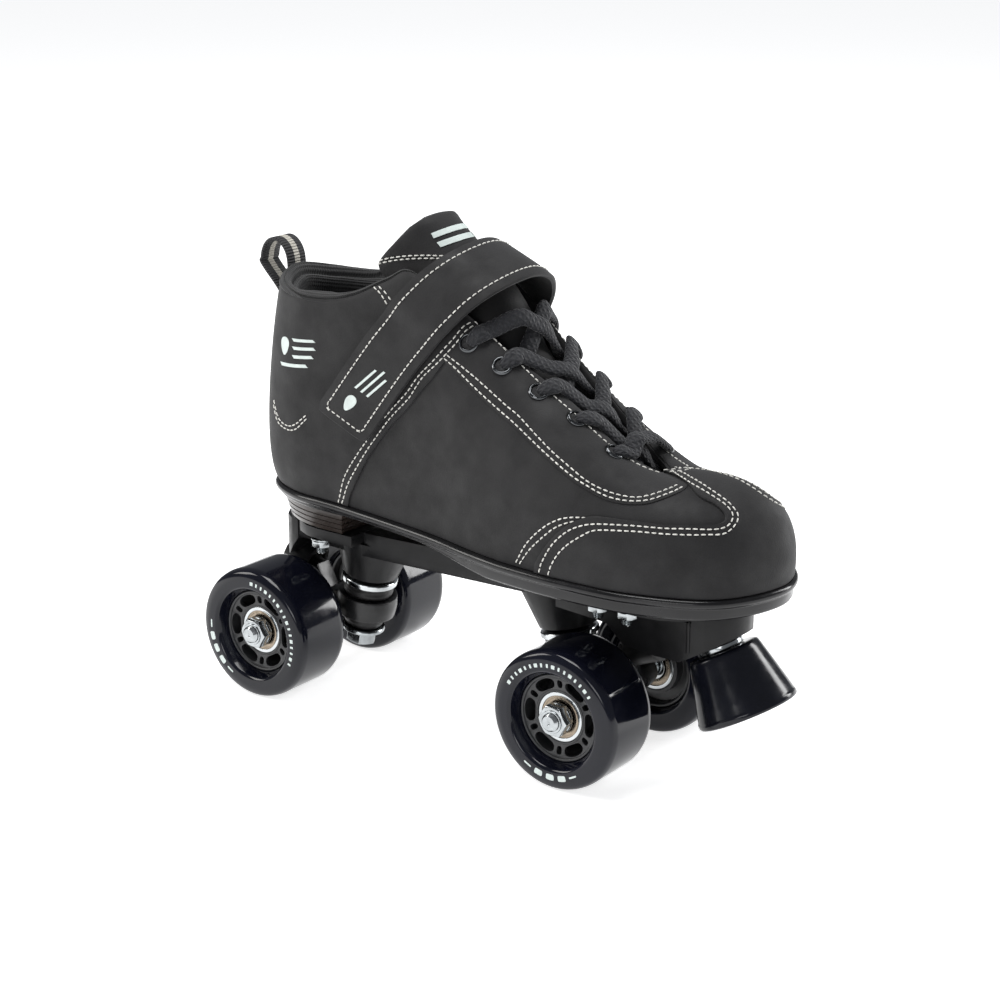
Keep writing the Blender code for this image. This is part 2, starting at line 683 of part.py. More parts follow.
def make_plate():
    """The moulded plate: two bolted decks joined by a shank, with a block under each for its truck."""
    boss_foot = RING_HALF + UPPER_CUSHION + TOP_WASHER + 3 * GAP
    boss = turned([(0, 37.5 * MM), (20 * MM, 37.5 * MM), (13.2 * MM, boss_foot), (0, boss_foot)], 20)
    pivot = rod(9.0 * MM, PIVOT_START + 4 * MM, PIVOT_TIP + 5 * MM, 16)
    socket = rod(PIVOT_CUP_R + GAP, 0.0, PIVOT_TIP + 2 * MM, 16)
    bore = rod(KINGPIN_R + GAP, 0.0, 34 * MM, 12)
    toe_side = [(62, 80), (62, 67), (88, 65.5), (97, 57.5), (112, 56.3), (125, 56.3), (150, 71), (150, 80)]
    heel_side = [(-86, 77), (-86, 68), (-95, 57.5), (-110, 57.5), (-110, 77)]
    shank_side = [(-90, 78.4), (-90, 69), (-46, 67), (46, 69.5), (98, 70), (98, 81.4), (50, 81.4),
                  (-40, 78.4)]
    toe_block = combined(extruded(scaled(toe_side), -PLATE_HALF, PLATE_HALF, "XZ"),
                         [extruded(rounded_end(55 * MM, 147 * MM, PLATE_HALF), 0.04, 0.1)], "INTERSECT")
    heel_block = combined(extruded(scaled(heel_side), -PLATE_HALF, PLATE_HALF, "XZ"),
                          [extruded(rounded_end(-80 * MM, -101.5 * MM, PLATE_HALF), 0.04, 0.1)], "INTERSECT")
    shank = extruded(scaled(shank_side), -17 * MM, 17 * MM, "XZ")
    toe_deck = extruded(rounded_end(39 * MM, 140 * MM, 29 * MM, 10), PLATE_TOP_TOE - FLANGE, PLATE_TOP_TOE)
    heel_deck = extruded(rounded_end(-46 * MM, -92 * MM, 26 * MM, 10), PLATE_TOP_HEEL - FLANGE,
                         PLATE_TOP_HEEL)
    bosses = placed(boss, kingpin_frame(), half_turn() @ kingpin_frame())
    pivots = placed(pivot, steering_frame(), half_turn() @ steering_frame())
    body = combined(shank, [toe_deck, heel_deck, toe_block, heel_block, bosses, pivots])
    sockets = placed(socket, steering_frame(), half_turn() @ steering_frame())
    bores = placed(bore, kingpin_frame(), half_turn() @ kingpin_frame())
    stop_bore = placed(rod(BOLT_R * 1.6 + GAP, -10 * MM, 15 * MM, 12), stop_frame())
    bolt_holes = placed(rod(BOLT_R + GAP, 60 * MM, 110 * MM, 8), *bolt_places(0.0))
    return combined(body, [sockets, bores, stop_bore, bolt_holes], "DIFFERENCE")


def scaled(points):
    return [(across * MM, up * MM) for across, up in points]


def deck_top(x):
    return PLATE_TOP_TOE if x > 0 else PLATE_TOP_HEEL


def make_bolt(x):
    """A mounting bolt with its nut run up to the plate's flange, as one solid round Z."""
    top = float(sole_top(x)) - GAP
    face = deck_top(x) - FLANGE - GAP
    foot = face - 8.0 * MM
    bolt = turned([(0, top), (BOLT_HEAD_R, top), (BOLT_HEAD_R, top - BOLT_HEAD),
                   (BOLT_R, top - BOLT_HEAD), (BOLT_R, foot), (0, foot)], 8)
    return combined(bolt, [rod(4.6 * MM, face - 4.0 * MM, face, 6)])


def make_toe_stop():
    base = [(0, 0), (STOP_TOP_R - 1.5 * MM, 0), (STOP_TOP_R, -1.5 * MM),
            (STOP_BASE_R, -STOP_HEIGHT + 2 * MM), (STOP_BASE_R - 1.5 * MM, -STOP_HEIGHT), (0, -STOP_HEIGHT)]
    solid = placed(turned(base, 28), stop_frame())
    return combined(solid, [placed(rod(BOLT_R * 1.6 + GAP, -9 * MM, 10 * MM, 12), stop_frame())],
                    "DIFFERENCE")


# ---------------------------------------------------------------- trucks
def make_hanger():
    """The cast hanger: a ring for the cushions, a yoke, the axle's housing and the arm with the pivot pin."""
    collar = placed(turned([(0, RING_HALF), (RING_R, RING_HALF), (RING_R, -RING_HALF), (0, -RING_HALF)], 24),
                    kingpin_frame())
    yoke_side = [(64, 35), (74, 34.5), (77, 27.5), (84, 24.5), (91, 31), (84, 38.5), (74, 43.5), (64, 41.5)]
    yoke = extruded(scaled(yoke_side), -9.5 * MM, 9.5 * MM, "XZ")
    arm_side = [(78, 35), (92, 32), (91, 46), (86.5, 51)]
    arm = extruded(scaled(arm_side), -4.5 * MM, 4.5 * MM, "XZ")
    along_y = Matrix.Translation((AXLE_X, 0, AXLE_Z)) @ Matrix.Rotation(math.radians(90), 4, "X")
    housing = placed(turned([(0, 19.6 * MM), (6.4 * MM, 19.6 * MM), (8.0 * MM, 8 * MM), (8.0 * MM, -8 * MM),
                             (6.4 * MM, -19.6 * MM), (0, -19.6 * MM)], 20), along_y)
    pin = placed(turned([(0, PIVOT_TIP), (PIVOT_PIN_R * 0.7, PIVOT_TIP - 0.8 * MM),
                         (PIVOT_PIN_R, PIVOT_TIP - 3 * MM), (PIVOT_PIN_R, PIVOT_START),
                         (0, PIVOT_START)], 14),
                 steering_frame())
    body = combined(collar, [yoke, arm, housing, pin])
    bore = placed(rod(RING_BORE_R, -20 * MM, 20 * MM, 16), kingpin_frame())
    axle_bore = placed(rod(AXLE_R + GAP, -30 * MM, 30 * MM, 12), along_y)
    return combined(body, [bore, axle_bore], "DIFFERENCE")


def truck_pieces():
    """Each truck piece's mesh in the front truck's place, with its colour, finish and body."""
    ring_top, ring_foot = RING_HALF + GAP, -RING_HALF - GAP
    cushion_top = RING_HALF + UPPER_CUSHION
    cushion_foot = -RING_HALF - LOWER_CUSHION
    bore = KINGPIN_R + GAP
    barrel = [(10.5 * MM, cushion_top - GAP), (11.4 * MM, (ring_top + cushion_top) / 2),
              (11.8 * MM, ring_top), (RING_BORE_R, ring_top), (RING_BORE_R, cushion_top - GAP)]
    cone = [(10.2 * MM, ring_foot), (10.0 * MM, (ring_foot + cushion_foot) / 2),
            (8.4 * MM, cushion_foot + GAP), (RING_BORE_R, cushion_foot + GAP), (RING_BORE_R, ring_foot)]
    cup = [(12.2 * MM, cushion_top + TOP_WASHER), (TOP_WASHER_R, cushion_top + TOP_WASHER * 0.5),
           (TOP_WASHER_R, cushion_top), (bore, cushion_top), (bore, cushion_top + TOP_WASHER)]
    nut_top = cushion_foot - LOW_WASHER - GAP
    pin_foot = nut_top - NUT_HEIGHT - 1.6 * MM
    king = kingpin_frame()
    along_y = Matrix.Translation((AXLE_X, 0, AXLE_Z)) @ Matrix.Rotation(math.radians(90), 4, "X")
    cup_ring = turned([(0, PIVOT_TIP + 1.7 * MM), (PIVOT_CUP_R, PIVOT_TIP + 1.7 * MM),
                       (PIVOT_CUP_R, PIVOT_START + 5 * MM), (PIVOT_PIN_R + GAP, PIVOT_START + 5 * MM),
                       (PIVOT_PIN_R + GAP, PIVOT_TIP + GAP), (0, PIVOT_TIP + GAP)], 14)
    zinc, black, rubber = ((.62, .62, .60), .3, 1.0), ((.02, .02, .022), .4, 0.0), ((.03, .03, .032), .7, 0.0)
    return {
        "hanger": (make_hanger(), *black, True),
        "axle": (placed(rod(AXLE_R, -AXLE_HALF, AXLE_HALF, 12), along_y), *zinc, True),
        "kingpin": (placed(rod(KINGPIN_R, pin_foot, 33 * MM, 12), king), *zinc, False),
        "top_washer": (placed(turned(cup, 20), king), *zinc, False),
        "upper_cushion": (placed(turned(barrel, 18), king), *rubber, False),
        "lower_cushion": (placed(turned(cone, 18), king), *rubber, False),
        "bottom_washer": (placed(ring(LOW_WASHER_R, bore, cushion_foot - LOW_WASHER, cushion_foot, 18), king),
                          *zinc, False),
        "kingpin_nut": (placed(ring(7.5 * MM, bore * 1.2, nut_top - NUT_HEIGHT, nut_top, 6), king),
                        *zinc, False),
        "pivot_cup": (placed(cup_ring, steering_frame()), *rubber, False),
    }


# ---------------------------------------------------------------- wheels
def wheel_meshes():
    """Tyre, hub, the bearing pair and spacer of a wheel, turned round Z; +Z is the wheel's outer end."""
    rim = WHEEL_R / math.cos(math.pi / WHEEL_SIDES)
    low, high = 0.0, WHEEL_OUT - WHEEL_IN
    half_step = math.pi / WHEEL_SIDES
    tyre = [(CORE_R + 3.6 * MM, high - 0.8 * MM), (rim - 4 * MM, high), (rim - 0.9 * MM, high - 1.1 * MM),
            (rim, high - 3.8 * MM), (rim, low + 4 * MM), (rim - 3.6 * MM, low),
            (CORE_R + 1.5 * MM, low + 1 * MM), (CORE_R + GAP, low + 3.5 * MM),
            (CORE_R + GAP, high - 5.4 * MM)]
    outer_face = BEARING_PLANES[1] + BEARING_WIDTH - WHEEL_IN
    inner_face = BEARING_PLANES[0] - WHEEL_IN
    seat = BEARING_R + GAP
    hub = [(CORE_R, high - 5.6 * MM), (CORE_R, low + 3.5 * MM), (seat, inner_face),
           (seat, inner_face + 7.5 * MM), (7.2 * MM, inner_face + 7.5 * MM),
           (7.2 * MM, outer_face - 7.5 * MM), (seat, outer_face - 7.5 * MM), (seat, outer_face)]
    foot, end = BEARING_PLANES[0] - WHEEL_IN, BEARING_PLANES[1] - WHEEL_IN
    bearings = [(BEARING_R, end + BEARING_WIDTH), (BEARING_R, end), (6 * MM, end),
                (6 * MM, foot + BEARING_WIDTH), (BEARING_R, foot + BEARING_WIDTH), (BEARING_R, foot), (BEARING_BORE_R, foot),
                (BEARING_BORE_R, end + BEARING_WIDTH)]
    return {
        "tyre": (turned(tyre, WHEEL_SIDES, half_step), (.012, .013, .02), .12, 0.0),
        "hub": (turned(hub, 24), (.05, .05, .055), .45, 0.0),
        "bearings": (turned(bearings, 16), (.6, .58, .54), .3, 1.0),
    }


def axle_end_places(x):
    """The frame at each end of an axle: +Z outwards, at the skate's centre plane."""
    centre = Matrix.Translation((x, 0, AXLE_Z))
    return [centre @ Matrix.Rotation(math.radians(turn), 4, "X") for turn in (90, -90)]


# ---------------------------------------------------------------- the skate
def build_boot():
    leather, lining = (.045, .045, .048), (.02, .02, .022)
    tree = upper_tree()
    frames = eyelet_frames(tree)
    node("upper_shell", make_upper(frames), leather, .8)
    node("collar_padding", make_collar_padding(), lining, .9)
    node("insole", make_insole(), (.1, .1, .1), .9)
    node("outsole", make_outsole(), (.02, .018, .018), .25)
    node("tongue", make_tongue(), leather, .8)
    line = smooth(STRAP_LINE, 2)
    hinge = empty("strap_hinge", Vector(line[STRAP_HINGE_AT * 2]), SKATE)
    last = len(STRAP_LINE) - 1
    free_end = strap_rows(tree, 0, STRAP_HINGE_AT)
    node("strap_free_end", solidified(grid_mesh(free_end, False), STRAP_THICK), leather, .75, parent=hinge)
    over = strap_rows(tree, STRAP_HINGE_AT, last)
    over[0] = [point.lerp(after, 0.16) for point, after in zip(over[0], over[1])]
    node("ankle_strap", solidified(grid_mesh(over, False), STRAP_THICK), leather, .75)
    node("strap_patch", make_patch(tree), (.02, .02, .02), .95)
    node("pull_loop", make_pull_loop(), (.05, .05, .05), .85)
    node("eyestay", make_eyestay(frames), leather, .8)
    node("lace", make_lace(tree, frames), (.02, .022, .03), .8)


def build_plate():
    black, steel = (.025, .025, .027), (.6, .6, .58)
    node("plate", make_plate(), black, .4)
    for name, x, y in bolt_spots():
        node(name, placed(make_bolt(x), Matrix.Translation((x, y, 0))), steel, .3, 1.0)
    node("toe_stop", make_toe_stop(), (.012, .013, .018), .15)
    node("toe_stop_bolt", placed(rod(BOLT_R * 1.6, -8 * MM, 14 * MM, 12), stop_frame()), steel, .3, 1.0)
    node("toe_stop_washer", placed(ring(9.5 * MM, 4.9 * MM, GAP, 2.5 * MM, 16), stop_frame()), steel, .3, 1.0)


def build_truck(end, turn):
    hinge = empty(end + "_steering", turn @ RING_CENTRE, SKATE)
    for name, (mesh, colour, roughness, metallic, steers) in truck_pieces().items():
        node(f"{end}_{name}", placed(mesh, turn), colour, roughness, metallic, hinge if steers else SKATE)
    x = (turn @ Vector((AXLE_X, 0, 0))).x
    ends = axle_end_places(x)
    start = BEARING_PLANES[1] + BEARING_WIDTH + 2 * GAP
    nut = ring(7.3 * MM, AXLE_R * 1.22, start, start + 5.6 * MM, 6)
    for side, place in zip(("outer", "inner"), ends):
        centre = place @ Vector((0, 0, (WHEEL_IN + WHEEL_OUT) / 2))
        node(f"{end}_{side}_axle_nut", placed(nut, place), (.6, .6, .58), .3, 1.0, hinge)
        spin = empty(f"{end}_{side}_spin", centre, hinge)
        wheel = place @ Matrix.Translation((0, 0, WHEEL_IN))
        for name, (mesh, colour, roughness, metallic) in wheel_meshes().items():
            node(f"{end}_{side}_{name}", placed(mesh, wheel), colour, roughness, metallic, spin)


clear_scene()
PIECES = new_collection("quad_roller_skate")
CUTTERS = new_collection("cutters")
SKATE = empty("skate", Vector())
SKATE.location.x = MID_WHEELBASE_X
build_boot()
build_plate()
build_truck("front", Matrix())
build_truck("rear", half_turn())
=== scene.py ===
# %% [markdown]
# A quad roller skate for the right foot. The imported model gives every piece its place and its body; this
# lesson gives each piece its real surface: sewn leather, braid, knit, cast urethane, zinc and moulded nylon.
# The soft parts are lofted again from the same tables as the model, only finer, so they fill the same space.

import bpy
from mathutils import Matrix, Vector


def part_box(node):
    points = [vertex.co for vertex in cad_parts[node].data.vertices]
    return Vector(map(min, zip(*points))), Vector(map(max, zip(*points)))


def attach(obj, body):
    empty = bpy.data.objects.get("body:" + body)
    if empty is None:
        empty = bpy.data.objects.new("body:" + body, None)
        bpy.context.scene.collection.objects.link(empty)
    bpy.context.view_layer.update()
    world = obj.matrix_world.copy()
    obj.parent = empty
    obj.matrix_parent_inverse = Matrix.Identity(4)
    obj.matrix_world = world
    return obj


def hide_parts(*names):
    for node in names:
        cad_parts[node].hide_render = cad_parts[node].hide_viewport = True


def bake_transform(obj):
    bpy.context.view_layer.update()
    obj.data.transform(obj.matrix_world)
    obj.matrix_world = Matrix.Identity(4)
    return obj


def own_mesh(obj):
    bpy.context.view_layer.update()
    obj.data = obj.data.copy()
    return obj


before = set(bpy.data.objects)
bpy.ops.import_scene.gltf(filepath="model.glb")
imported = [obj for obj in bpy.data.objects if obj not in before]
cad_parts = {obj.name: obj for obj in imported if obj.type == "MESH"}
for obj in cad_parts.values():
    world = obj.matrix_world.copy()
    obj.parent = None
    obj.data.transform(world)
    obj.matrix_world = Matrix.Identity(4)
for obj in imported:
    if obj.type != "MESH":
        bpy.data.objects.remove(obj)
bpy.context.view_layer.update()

# %% Tools and the middle of the wheelbase
import math

import bmesh
import bpy
import numpy as np
from mathutils import Matrix, Vector
from mathutils.bvhtree import BVHTree

MM = 0.001


def centre_of(node):
    low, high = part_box(node)
    return (low + high) / 2


MIDDLE = (centre_of("front_axle") + centre_of("rear_axle")) / 2
MIDDLE.z = 0.0
AXLE_X = centre_of("front_axle").x - MIDDLE.x
AXLE_Z = centre_of("front_axle").z
print("middle of the wheelbase", tuple(round(v, 5) for v in MIDDLE), "half wheelbase", round(AXLE_X, 5))

# %% [markdown]
# The camera stands in front of the skate's outer side, a little above it, and looks at it through a long
# lens. It comes first, so that every later look is from the same place.

# %% Camera
camera_data = bpy.data.cameras.new("camera")
camera_data.sensor_width = 36.0
camera_data.lens = 79.106
camera_data.clip_start = 0.01
camera = bpy.data.objects.new("camera", camera_data)
bpy.context.scene.collection.objects.link(camera)
aside, up, back = Vector((0.8030, 0.5960, 0)), Vector((-0.1826, 0.2460, 0.9519)), Vector((0.5673, -0.7644, 0.3064))
place = MIDDLE + Vector((571.494, -744.594, 400.673)) * MM
camera.matrix_world = Matrix.Translation(place) @ Matrix((aside, up, back)).transposed().to_4x4()
bpy.context.scene.camera = camera
bpy.context.scene.view_settings.view_transform = "Standard"
print("camera at", tuple(round(v, 3) for v in place))

# %% [markdown]
# A studio table and its lights. Glossy black urethane shows only what it mirrors, so the room is dim where it
# is mirrored and the lights are large panels: one overhead, one on each side and a low one in front.

# %% Floor, room and lights
floor_mesh = bpy.data.meshes.new("floor")
floor_mesh.from_pydata([(-6, -6, 0), (6, -6, 0), (6, 6, 0), (-6, 6, 0)], [], [(0, 1, 2, 3)])
floor = bpy.data.objects.new("floor", floor_mesh)
bpy.context.scene.collection.objects.link(floor)
floor_finish = bpy.data.materials.new("studio_floor")
floor_finish.use_nodes = True
for socket, value in (("Base Color", (0.9, 0.9, 0.9, 1)), ("Roughness", 0.6),
                      ("Emission Color", (1, 1, 1, 1)), ("Emission Strength", 0.7)):
    floor_finish.node_tree.nodes["Principled BSDF"].inputs[socket].default_value = value
floor_mesh.materials.append(floor_finish)

room = bpy.data.worlds.new("room")
bpy.context.scene.world = room
room.use_nodes = True
links, nodes = room.node_tree.links, room.node_tree.nodes
seen, reflected = nodes["Background"], nodes.new("ShaderNodeBackground")
seen.inputs["Color"].default_value = (1, 1, 1, 1)
seen.inputs["Strength"].default_value = 1.0
reflected.inputs["Color"].default_value = (0.92, 0.95, 1.0, 1)
reflected.inputs["Strength"].default_value = 0.25
ray, mix = nodes.new("ShaderNodeLightPath"), nodes.new("ShaderNodeMixShader")
links.new(ray.outputs["Is Camera Ray"], mix.inputs["Fac"])
links.new(reflected.outputs[0], mix.inputs[1])
links.new(seen.outputs[0], mix.inputs[2])
links.new(mix.outputs[0], nodes["World Output"].inputs["Surface"])


def panel_light(name, place, aim, size, watts, colour=(1, 1, 1)):
    data = bpy.data.lights.new(name, "AREA")
    data.shape = "RECTANGLE"
    data.size, data.size_y = size
    data.energy = watts
    data.color = colour
    made = bpy.data.objects.new(name, data)
    bpy.context.scene.collection.objects.link(made)
    made.location = place
    made.rotation_euler = (Vector(aim) - Vector(place)).to_track_quat("-Z", "Y").to_euler()


panel_light("overhead", (-0.15, -0.1, 1.5), (0, 0, 0.1), (0.9, 0.7), 20)
panel_light("left", (-1.3, -0.9, 0.9), (0, 0, 0.1), (0.5, 1.0), 14, (1.0, 0.98, 0.95))
panel_light("right", (0.95, 1.35, 0.75), (0, 0, 0.08), (0.4, 1.1), 20)
panel_light("front", (0.5, -1.7, 0.5), (0, 0, 0.1), (0.9, 0.4), 6)

# %% [markdown]
# Finishes. Each material starts from one Principled shader whose constants sit on its own sockets, and gets
# its grain, weave or casting marks from textures in object coordinates, or in the piece's own UV map where
# the pattern has to follow a strap or a lace.

# %% How a finish is put together
class Finish:
    """A material being built: add nodes, link them, and use a few ready recipes."""

    def __init__(self, name, colour, roughness, metallic=0.0, **constants):
        self.material = bpy.data.materials.new(name)
        self.material.use_nodes = True
        self.tree = self.material.node_tree
        self.shader = self.tree.nodes["Principled BSDF"]
        self.shader.inputs["Base Color"].default_value = (*colour, 1)
        self.shader.inputs["Roughness"].default_value = roughness
        self.shader.inputs["Metallic"].default_value = metallic
        for name, value in constants.items():
            self.shader.inputs[name.replace("_", " ")].default_value = value
        self.colour, self.roughness = colour, roughness
        self.place = self.add("ShaderNodeTexCoord").outputs["Object"]
        self.normal = None

    def add(self, kind, sources=(), **settings):
        node = self.tree.nodes.new(kind)
        for name, value in settings.items():
            if name in node.inputs:
                node.inputs[name].default_value = value
            else:
                setattr(node, name, value)
        for socket, source in sources:
            self.tree.links.new(source, node.inputs[socket])
        return node

    def noise(self, scale, detail=3.0, source=None):
        return self.add("ShaderNodeTexNoise", [("Vector", source or self.place)], Scale=scale, Detail=detail)

    def mottle(self, scale, amount, detail=3.0):
        """The colour wanders by a share of itself."""
        noise = self.noise(scale, detail)
        ramp = self.add("ShaderNodeValToRGB", [("Fac", noise.outputs["Fac"])])
        ramp.color_ramp.elements[0].position, ramp.color_ramp.elements[1].position = 0.3, 0.7
        for element, share in zip(ramp.color_ramp.elements, (1 - amount, 1 + amount)):
            element.color = (*[min(1, c * share) for c in self.colour], 1)
        self.tree.links.new(ramp.outputs["Color"], self.shader.inputs["Base Color"])
        return ramp

    def worn(self, scale, low, high, detail=4.0):
        """The roughness wanders between two values."""
        noise = self.noise(scale, detail)
        spread = self.add("ShaderNodeMapRange", [("Value", noise.outputs["Fac"])])
        spread.inputs["From Min"].default_value, spread.inputs["From Max"].default_value = 0.3, 0.7
        spread.inputs["To Min"].default_value, spread.inputs["To Max"].default_value = low, high
        self.tree.links.new(spread.outputs["Result"], self.shader.inputs["Roughness"])

    def bump(self, height, strength, distance):
        sources = [("Height", height)] + ([("Normal", self.normal)] if self.normal else [])
        node = self.add("ShaderNodeBump", sources, Strength=strength, Distance=distance)
        self.normal = node.outputs["Normal"]
        self.tree.links.new(self.normal, self.shader.inputs["Normal"])

    def grain(self, scale, strength, distance, detail=4.0):
        self.bump(self.noise(scale, detail).outputs["Fac"], strength, distance)

    def maths(self, operation, *values):
        node = self.add("ShaderNodeMath", operation=operation)
        for socket, value in zip(node.inputs, values):
            if isinstance(value, (int, float)):
                socket.default_value = value
            else:
                self.tree.links.new(value, socket)
        return node.outputs[0]

    def own_map(self):
        """The piece's own UV map, as separate across and along values."""
        split = self.add("ShaderNodeSeparateXYZ")
        self.tree.links.new(self.add("ShaderNodeUVMap", uv_map="weave").outputs[0], split.inputs[0])
        return split.outputs[0], split.outputs[1]

    def ribs(self, along, pitch, offset=None):
        """A sine wave over a length."""
        turns = self.maths("MULTIPLY", along, 2 * math.pi / pitch)
        if offset is not None:
            turns = self.maths("ADD", turns, offset)
        return self.maths("SINE", turns)


# %% [markdown]
# Nubuck is leather with its grain side sanded to a short nap: matt, dark, with a faint pale sheen at grazing
# angles and cloudy patches where the nap lies differently. A sheen socket, two scales of noise in the colour
# and a very fine bump give that.

# %% Leather, thread and printed marks
nubuck_finish = Finish("nubuck", (0.0092, 0.0089, 0.0095), 0.74, Sheen_Weight=0.08, Sheen_Roughness=0.45,
                       Specular_IOR_Level=0.3)
nubuck_finish.mottle(38.0, 0.20, 6.0)
nubuck_finish.worn(90.0, 0.62, 0.82)
nubuck_finish.grain(1500.0, 0.35, 0.00025)
nubuck_finish.grain(260.0, 0.12, 0.0004)
nubuck = nubuck_finish.material

thread_finish = Finish("thread", (0.60, 0.59, 0.55), 0.55, Sheen_Weight=0.2)
thread_finish.mottle(400.0, 0.12)
thread_finish.grain(3500.0, 0.5, 0.0002)
thread = thread_finish.material

print_finish = Finish("pale_print", (0.52, 0.58, 0.56), 0.5)
print_finish.mottle(300.0, 0.08)
print_finish.grain(2200.0, 0.3, 0.0001)
pale_print = print_finish.material

# %% [markdown]
# The lining and the collar are knitted, with ribs that run round the ankle, so their pattern needs the
# piece's own map: ribs across it and small loops along it. The footbed is a plain weave.

# %% Knit, binding and footbed
knit_finish = Finish("knit_lining", (0.010, 0.010, 0.0105), 0.9, Sheen_Weight=0.12, Sheen_Roughness=0.6)
across, along = knit_finish.own_map()
knit_finish.mottle(200.0, 0.3)
rib = knit_finish.ribs(across, 0.0021)
loops = knit_finish.ribs(along, 0.0013, offset=knit_finish.maths("MULTIPLY", rib, 1.2))
knit_finish.bump(knit_finish.maths("ADD", rib, knit_finish.maths("MULTIPLY", loops, 0.4)), 0.55, 0.0004)
knit = knit_finish.material

footbed_finish = Finish("footbed", (0.05, 0.05, 0.052), 0.92)
footbed_finish.mottle(150.0, 0.25)
footbed_finish.grain(1100.0, 0.5, 0.0003)
footbed = footbed_finish.material

pile_finish = Finish("looped_pile", (0.02, 0.02, 0.021), 0.95)
pile_finish.mottle(500.0, 0.5)
pile_finish.grain(1600.0, 0.9, 0.0006)
looped_pile = pile_finish.material

# %% [markdown]
# Webbing and lace are woven. The webbing has a ribbed face and one pale stripe down its middle. The lace is a
# tubular braid: two sets of yarns run round it in opposite turns, so the bump is the larger of two slanted
# waves.

# %% Webbing and lace
webbing_finish = Finish("webbing", (0.02, 0.02, 0.021), 0.75)
across, along = webbing_finish.own_map()
twice = webbing_finish.maths("MULTIPLY", across, 2.0)
offset = webbing_finish.maths("ABSOLUTE", webbing_finish.maths("SUBTRACT", twice,
                                                               webbing_finish.maths("ROUND", twice)))
stripe = webbing_finish.maths("LESS_THAN", offset, 0.062)
blend = webbing_finish.add("ShaderNodeMix", [(0, stripe)], data_type="RGBA")
blend.inputs[6].default_value, blend.inputs[7].default_value = (0.018, 0.018, 0.02, 1), (0.46, 0.44, 0.39, 1)
webbing_finish.tree.links.new(blend.outputs[2], webbing_finish.shader.inputs["Base Color"])
webbing_finish.bump(webbing_finish.ribs(along, 0.0013), 0.9, 0.00035)
webbing_finish.grain(1800.0, 0.3, 0.0001)
webbing = webbing_finish.material

lace_finish = Finish("lace_braid", (0.0045, 0.005, 0.0078), 0.8, Sheen_Weight=0.12, Sheen_Roughness=0.4)
across, along = lace_finish.own_map()
round_turn = lace_finish.maths("MULTIPLY", across, 2 * math.pi * 7)
one_way = lace_finish.ribs(along, 0.0030, offset=round_turn)
other_way = lace_finish.ribs(along, -0.0030, offset=round_turn)
braid = lace_finish.maths("MAXIMUM", one_way, other_way)
lace_finish.mottle(900.0, 0.35)
lace_finish.bump(braid, 0.6, 0.0004)
lace_finish.grain(5000.0, 0.4, 0.0002)
lace_braid = lace_finish.material

# %% [markdown]
# Moulded and cast parts. The sole and the toe stop are polished rubber, the wheels cast urethane that is
# almost black and very smooth, the plate nylon with a faint moulded texture, and the hubs a duller grey.

# %% Rubber, urethane and nylon
def solid_finish(name, colour, roughness, mottle, worn, grain, metallic=0.0, **sockets):
    """A solid material: a cloudy colour, an uneven gloss and a fine grain."""
    finish = Finish(name, colour, roughness, metallic, **sockets)
    finish.mottle(*mottle)
    finish.worn(*worn)
    finish.grain(*grain)
    return finish.material


sole_rubber = solid_finish("sole_rubber", (0.007, 0.0068, 0.0075), 0.22,
                           (60.0, 0.3), (140.0, 0.16, 0.28), (400.0, 0.02, 0.0003), Specular_IOR_Level=0.28)
heel_stack = solid_finish("heel_stack", (0.022, 0.016, 0.0135), 0.3,
                          (45.0, 0.35), (160.0, 0.24, 0.4), (500.0, 0.1, 0.0003),
                          Coat_Weight=0.2, Specular_IOR_Level=0.28)
urethane = solid_finish("cast_urethane", (0.0035, 0.004, 0.008), 0.09,
                        (30.0, 0.3), (220.0, 0.06, 0.14), (120.0, 0.012, 0.0004, 2.0), Specular_IOR_Level=0.28)
stop_rubber = solid_finish("stop_rubber", (0.004, 0.0045, 0.0075), 0.12,
                           (50.0, 0.3), (260.0, 0.12, 0.24), (180.0, 0.05, 0.0004, 2.0),
                           Specular_IOR_Level=0.28)
nylon = solid_finish("moulded_nylon", (0.0045, 0.0045, 0.005), 0.36,
                     (70.0, 0.2), (180.0, 0.3, 0.44), (900.0, 0.14, 0.0002), Specular_IOR_Level=0.2)
hub_plastic = solid_finish("hub_plastic", (0.020, 0.0205, 0.022), 0.36,
                           (120.0, 0.2), (300.0, 0.34, 0.5), (1200.0, 0.12, 0.0002))
bushing = solid_finish("bushing", (0.008, 0.0078, 0.008), 0.42,
                       (160.0, 0.25), (200.0, 0.34, 0.5), (700.0, 0.1, 0.0003), Specular_IOR_Level=0.28)

# %% [markdown]
# Metals: zinc plate on the nuts, washers and axles, slightly blue and a little scratched; brighter chrome on
# the cupped washers and bearing rings; a bronze-coloured shield in each bearing; dark nickel eyelets; and the
# trucks' black paint over a sand-cast skin.

# %% Metals and paint
zinc = solid_finish("zinc_plate", (0.36, 0.38, 0.39), 0.2,
                    (260.0, 0.14), (420.0, 0.13, 0.28), (700.0, 0.02, 0.0001), metallic=1.0)
chrome = solid_finish("chrome_plate", (0.46, 0.48, 0.49), 0.12,
                      (200.0, 0.08), (300.0, 0.05, 0.18), (240.0, 0.03, 0.0003), metallic=1.0)
shield = solid_finish("bearing_shield", (0.26, 0.215, 0.165), 0.3,
                      (350.0, 0.15), (500.0, 0.22, 0.4), (900.0, 0.08, 0.0002), metallic=1.0)
dark_nickel = solid_finish("dark_nickel", (0.075, 0.078, 0.082), 0.16,
                           (300.0, 0.2), (500.0, 0.1, 0.24), (800.0, 0.05, 0.0002), metallic=1.0)
black_casting = solid_finish("black_casting", (0.007, 0.007, 0.0075), 0.34,
                             (90.0, 0.25), (160.0, 0.26, 0.44), (420.0, 0.22, 0.0003),
                             Coat_Weight=0.25, Coat_Roughness=0.2, Specular_IOR_Level=0.28)
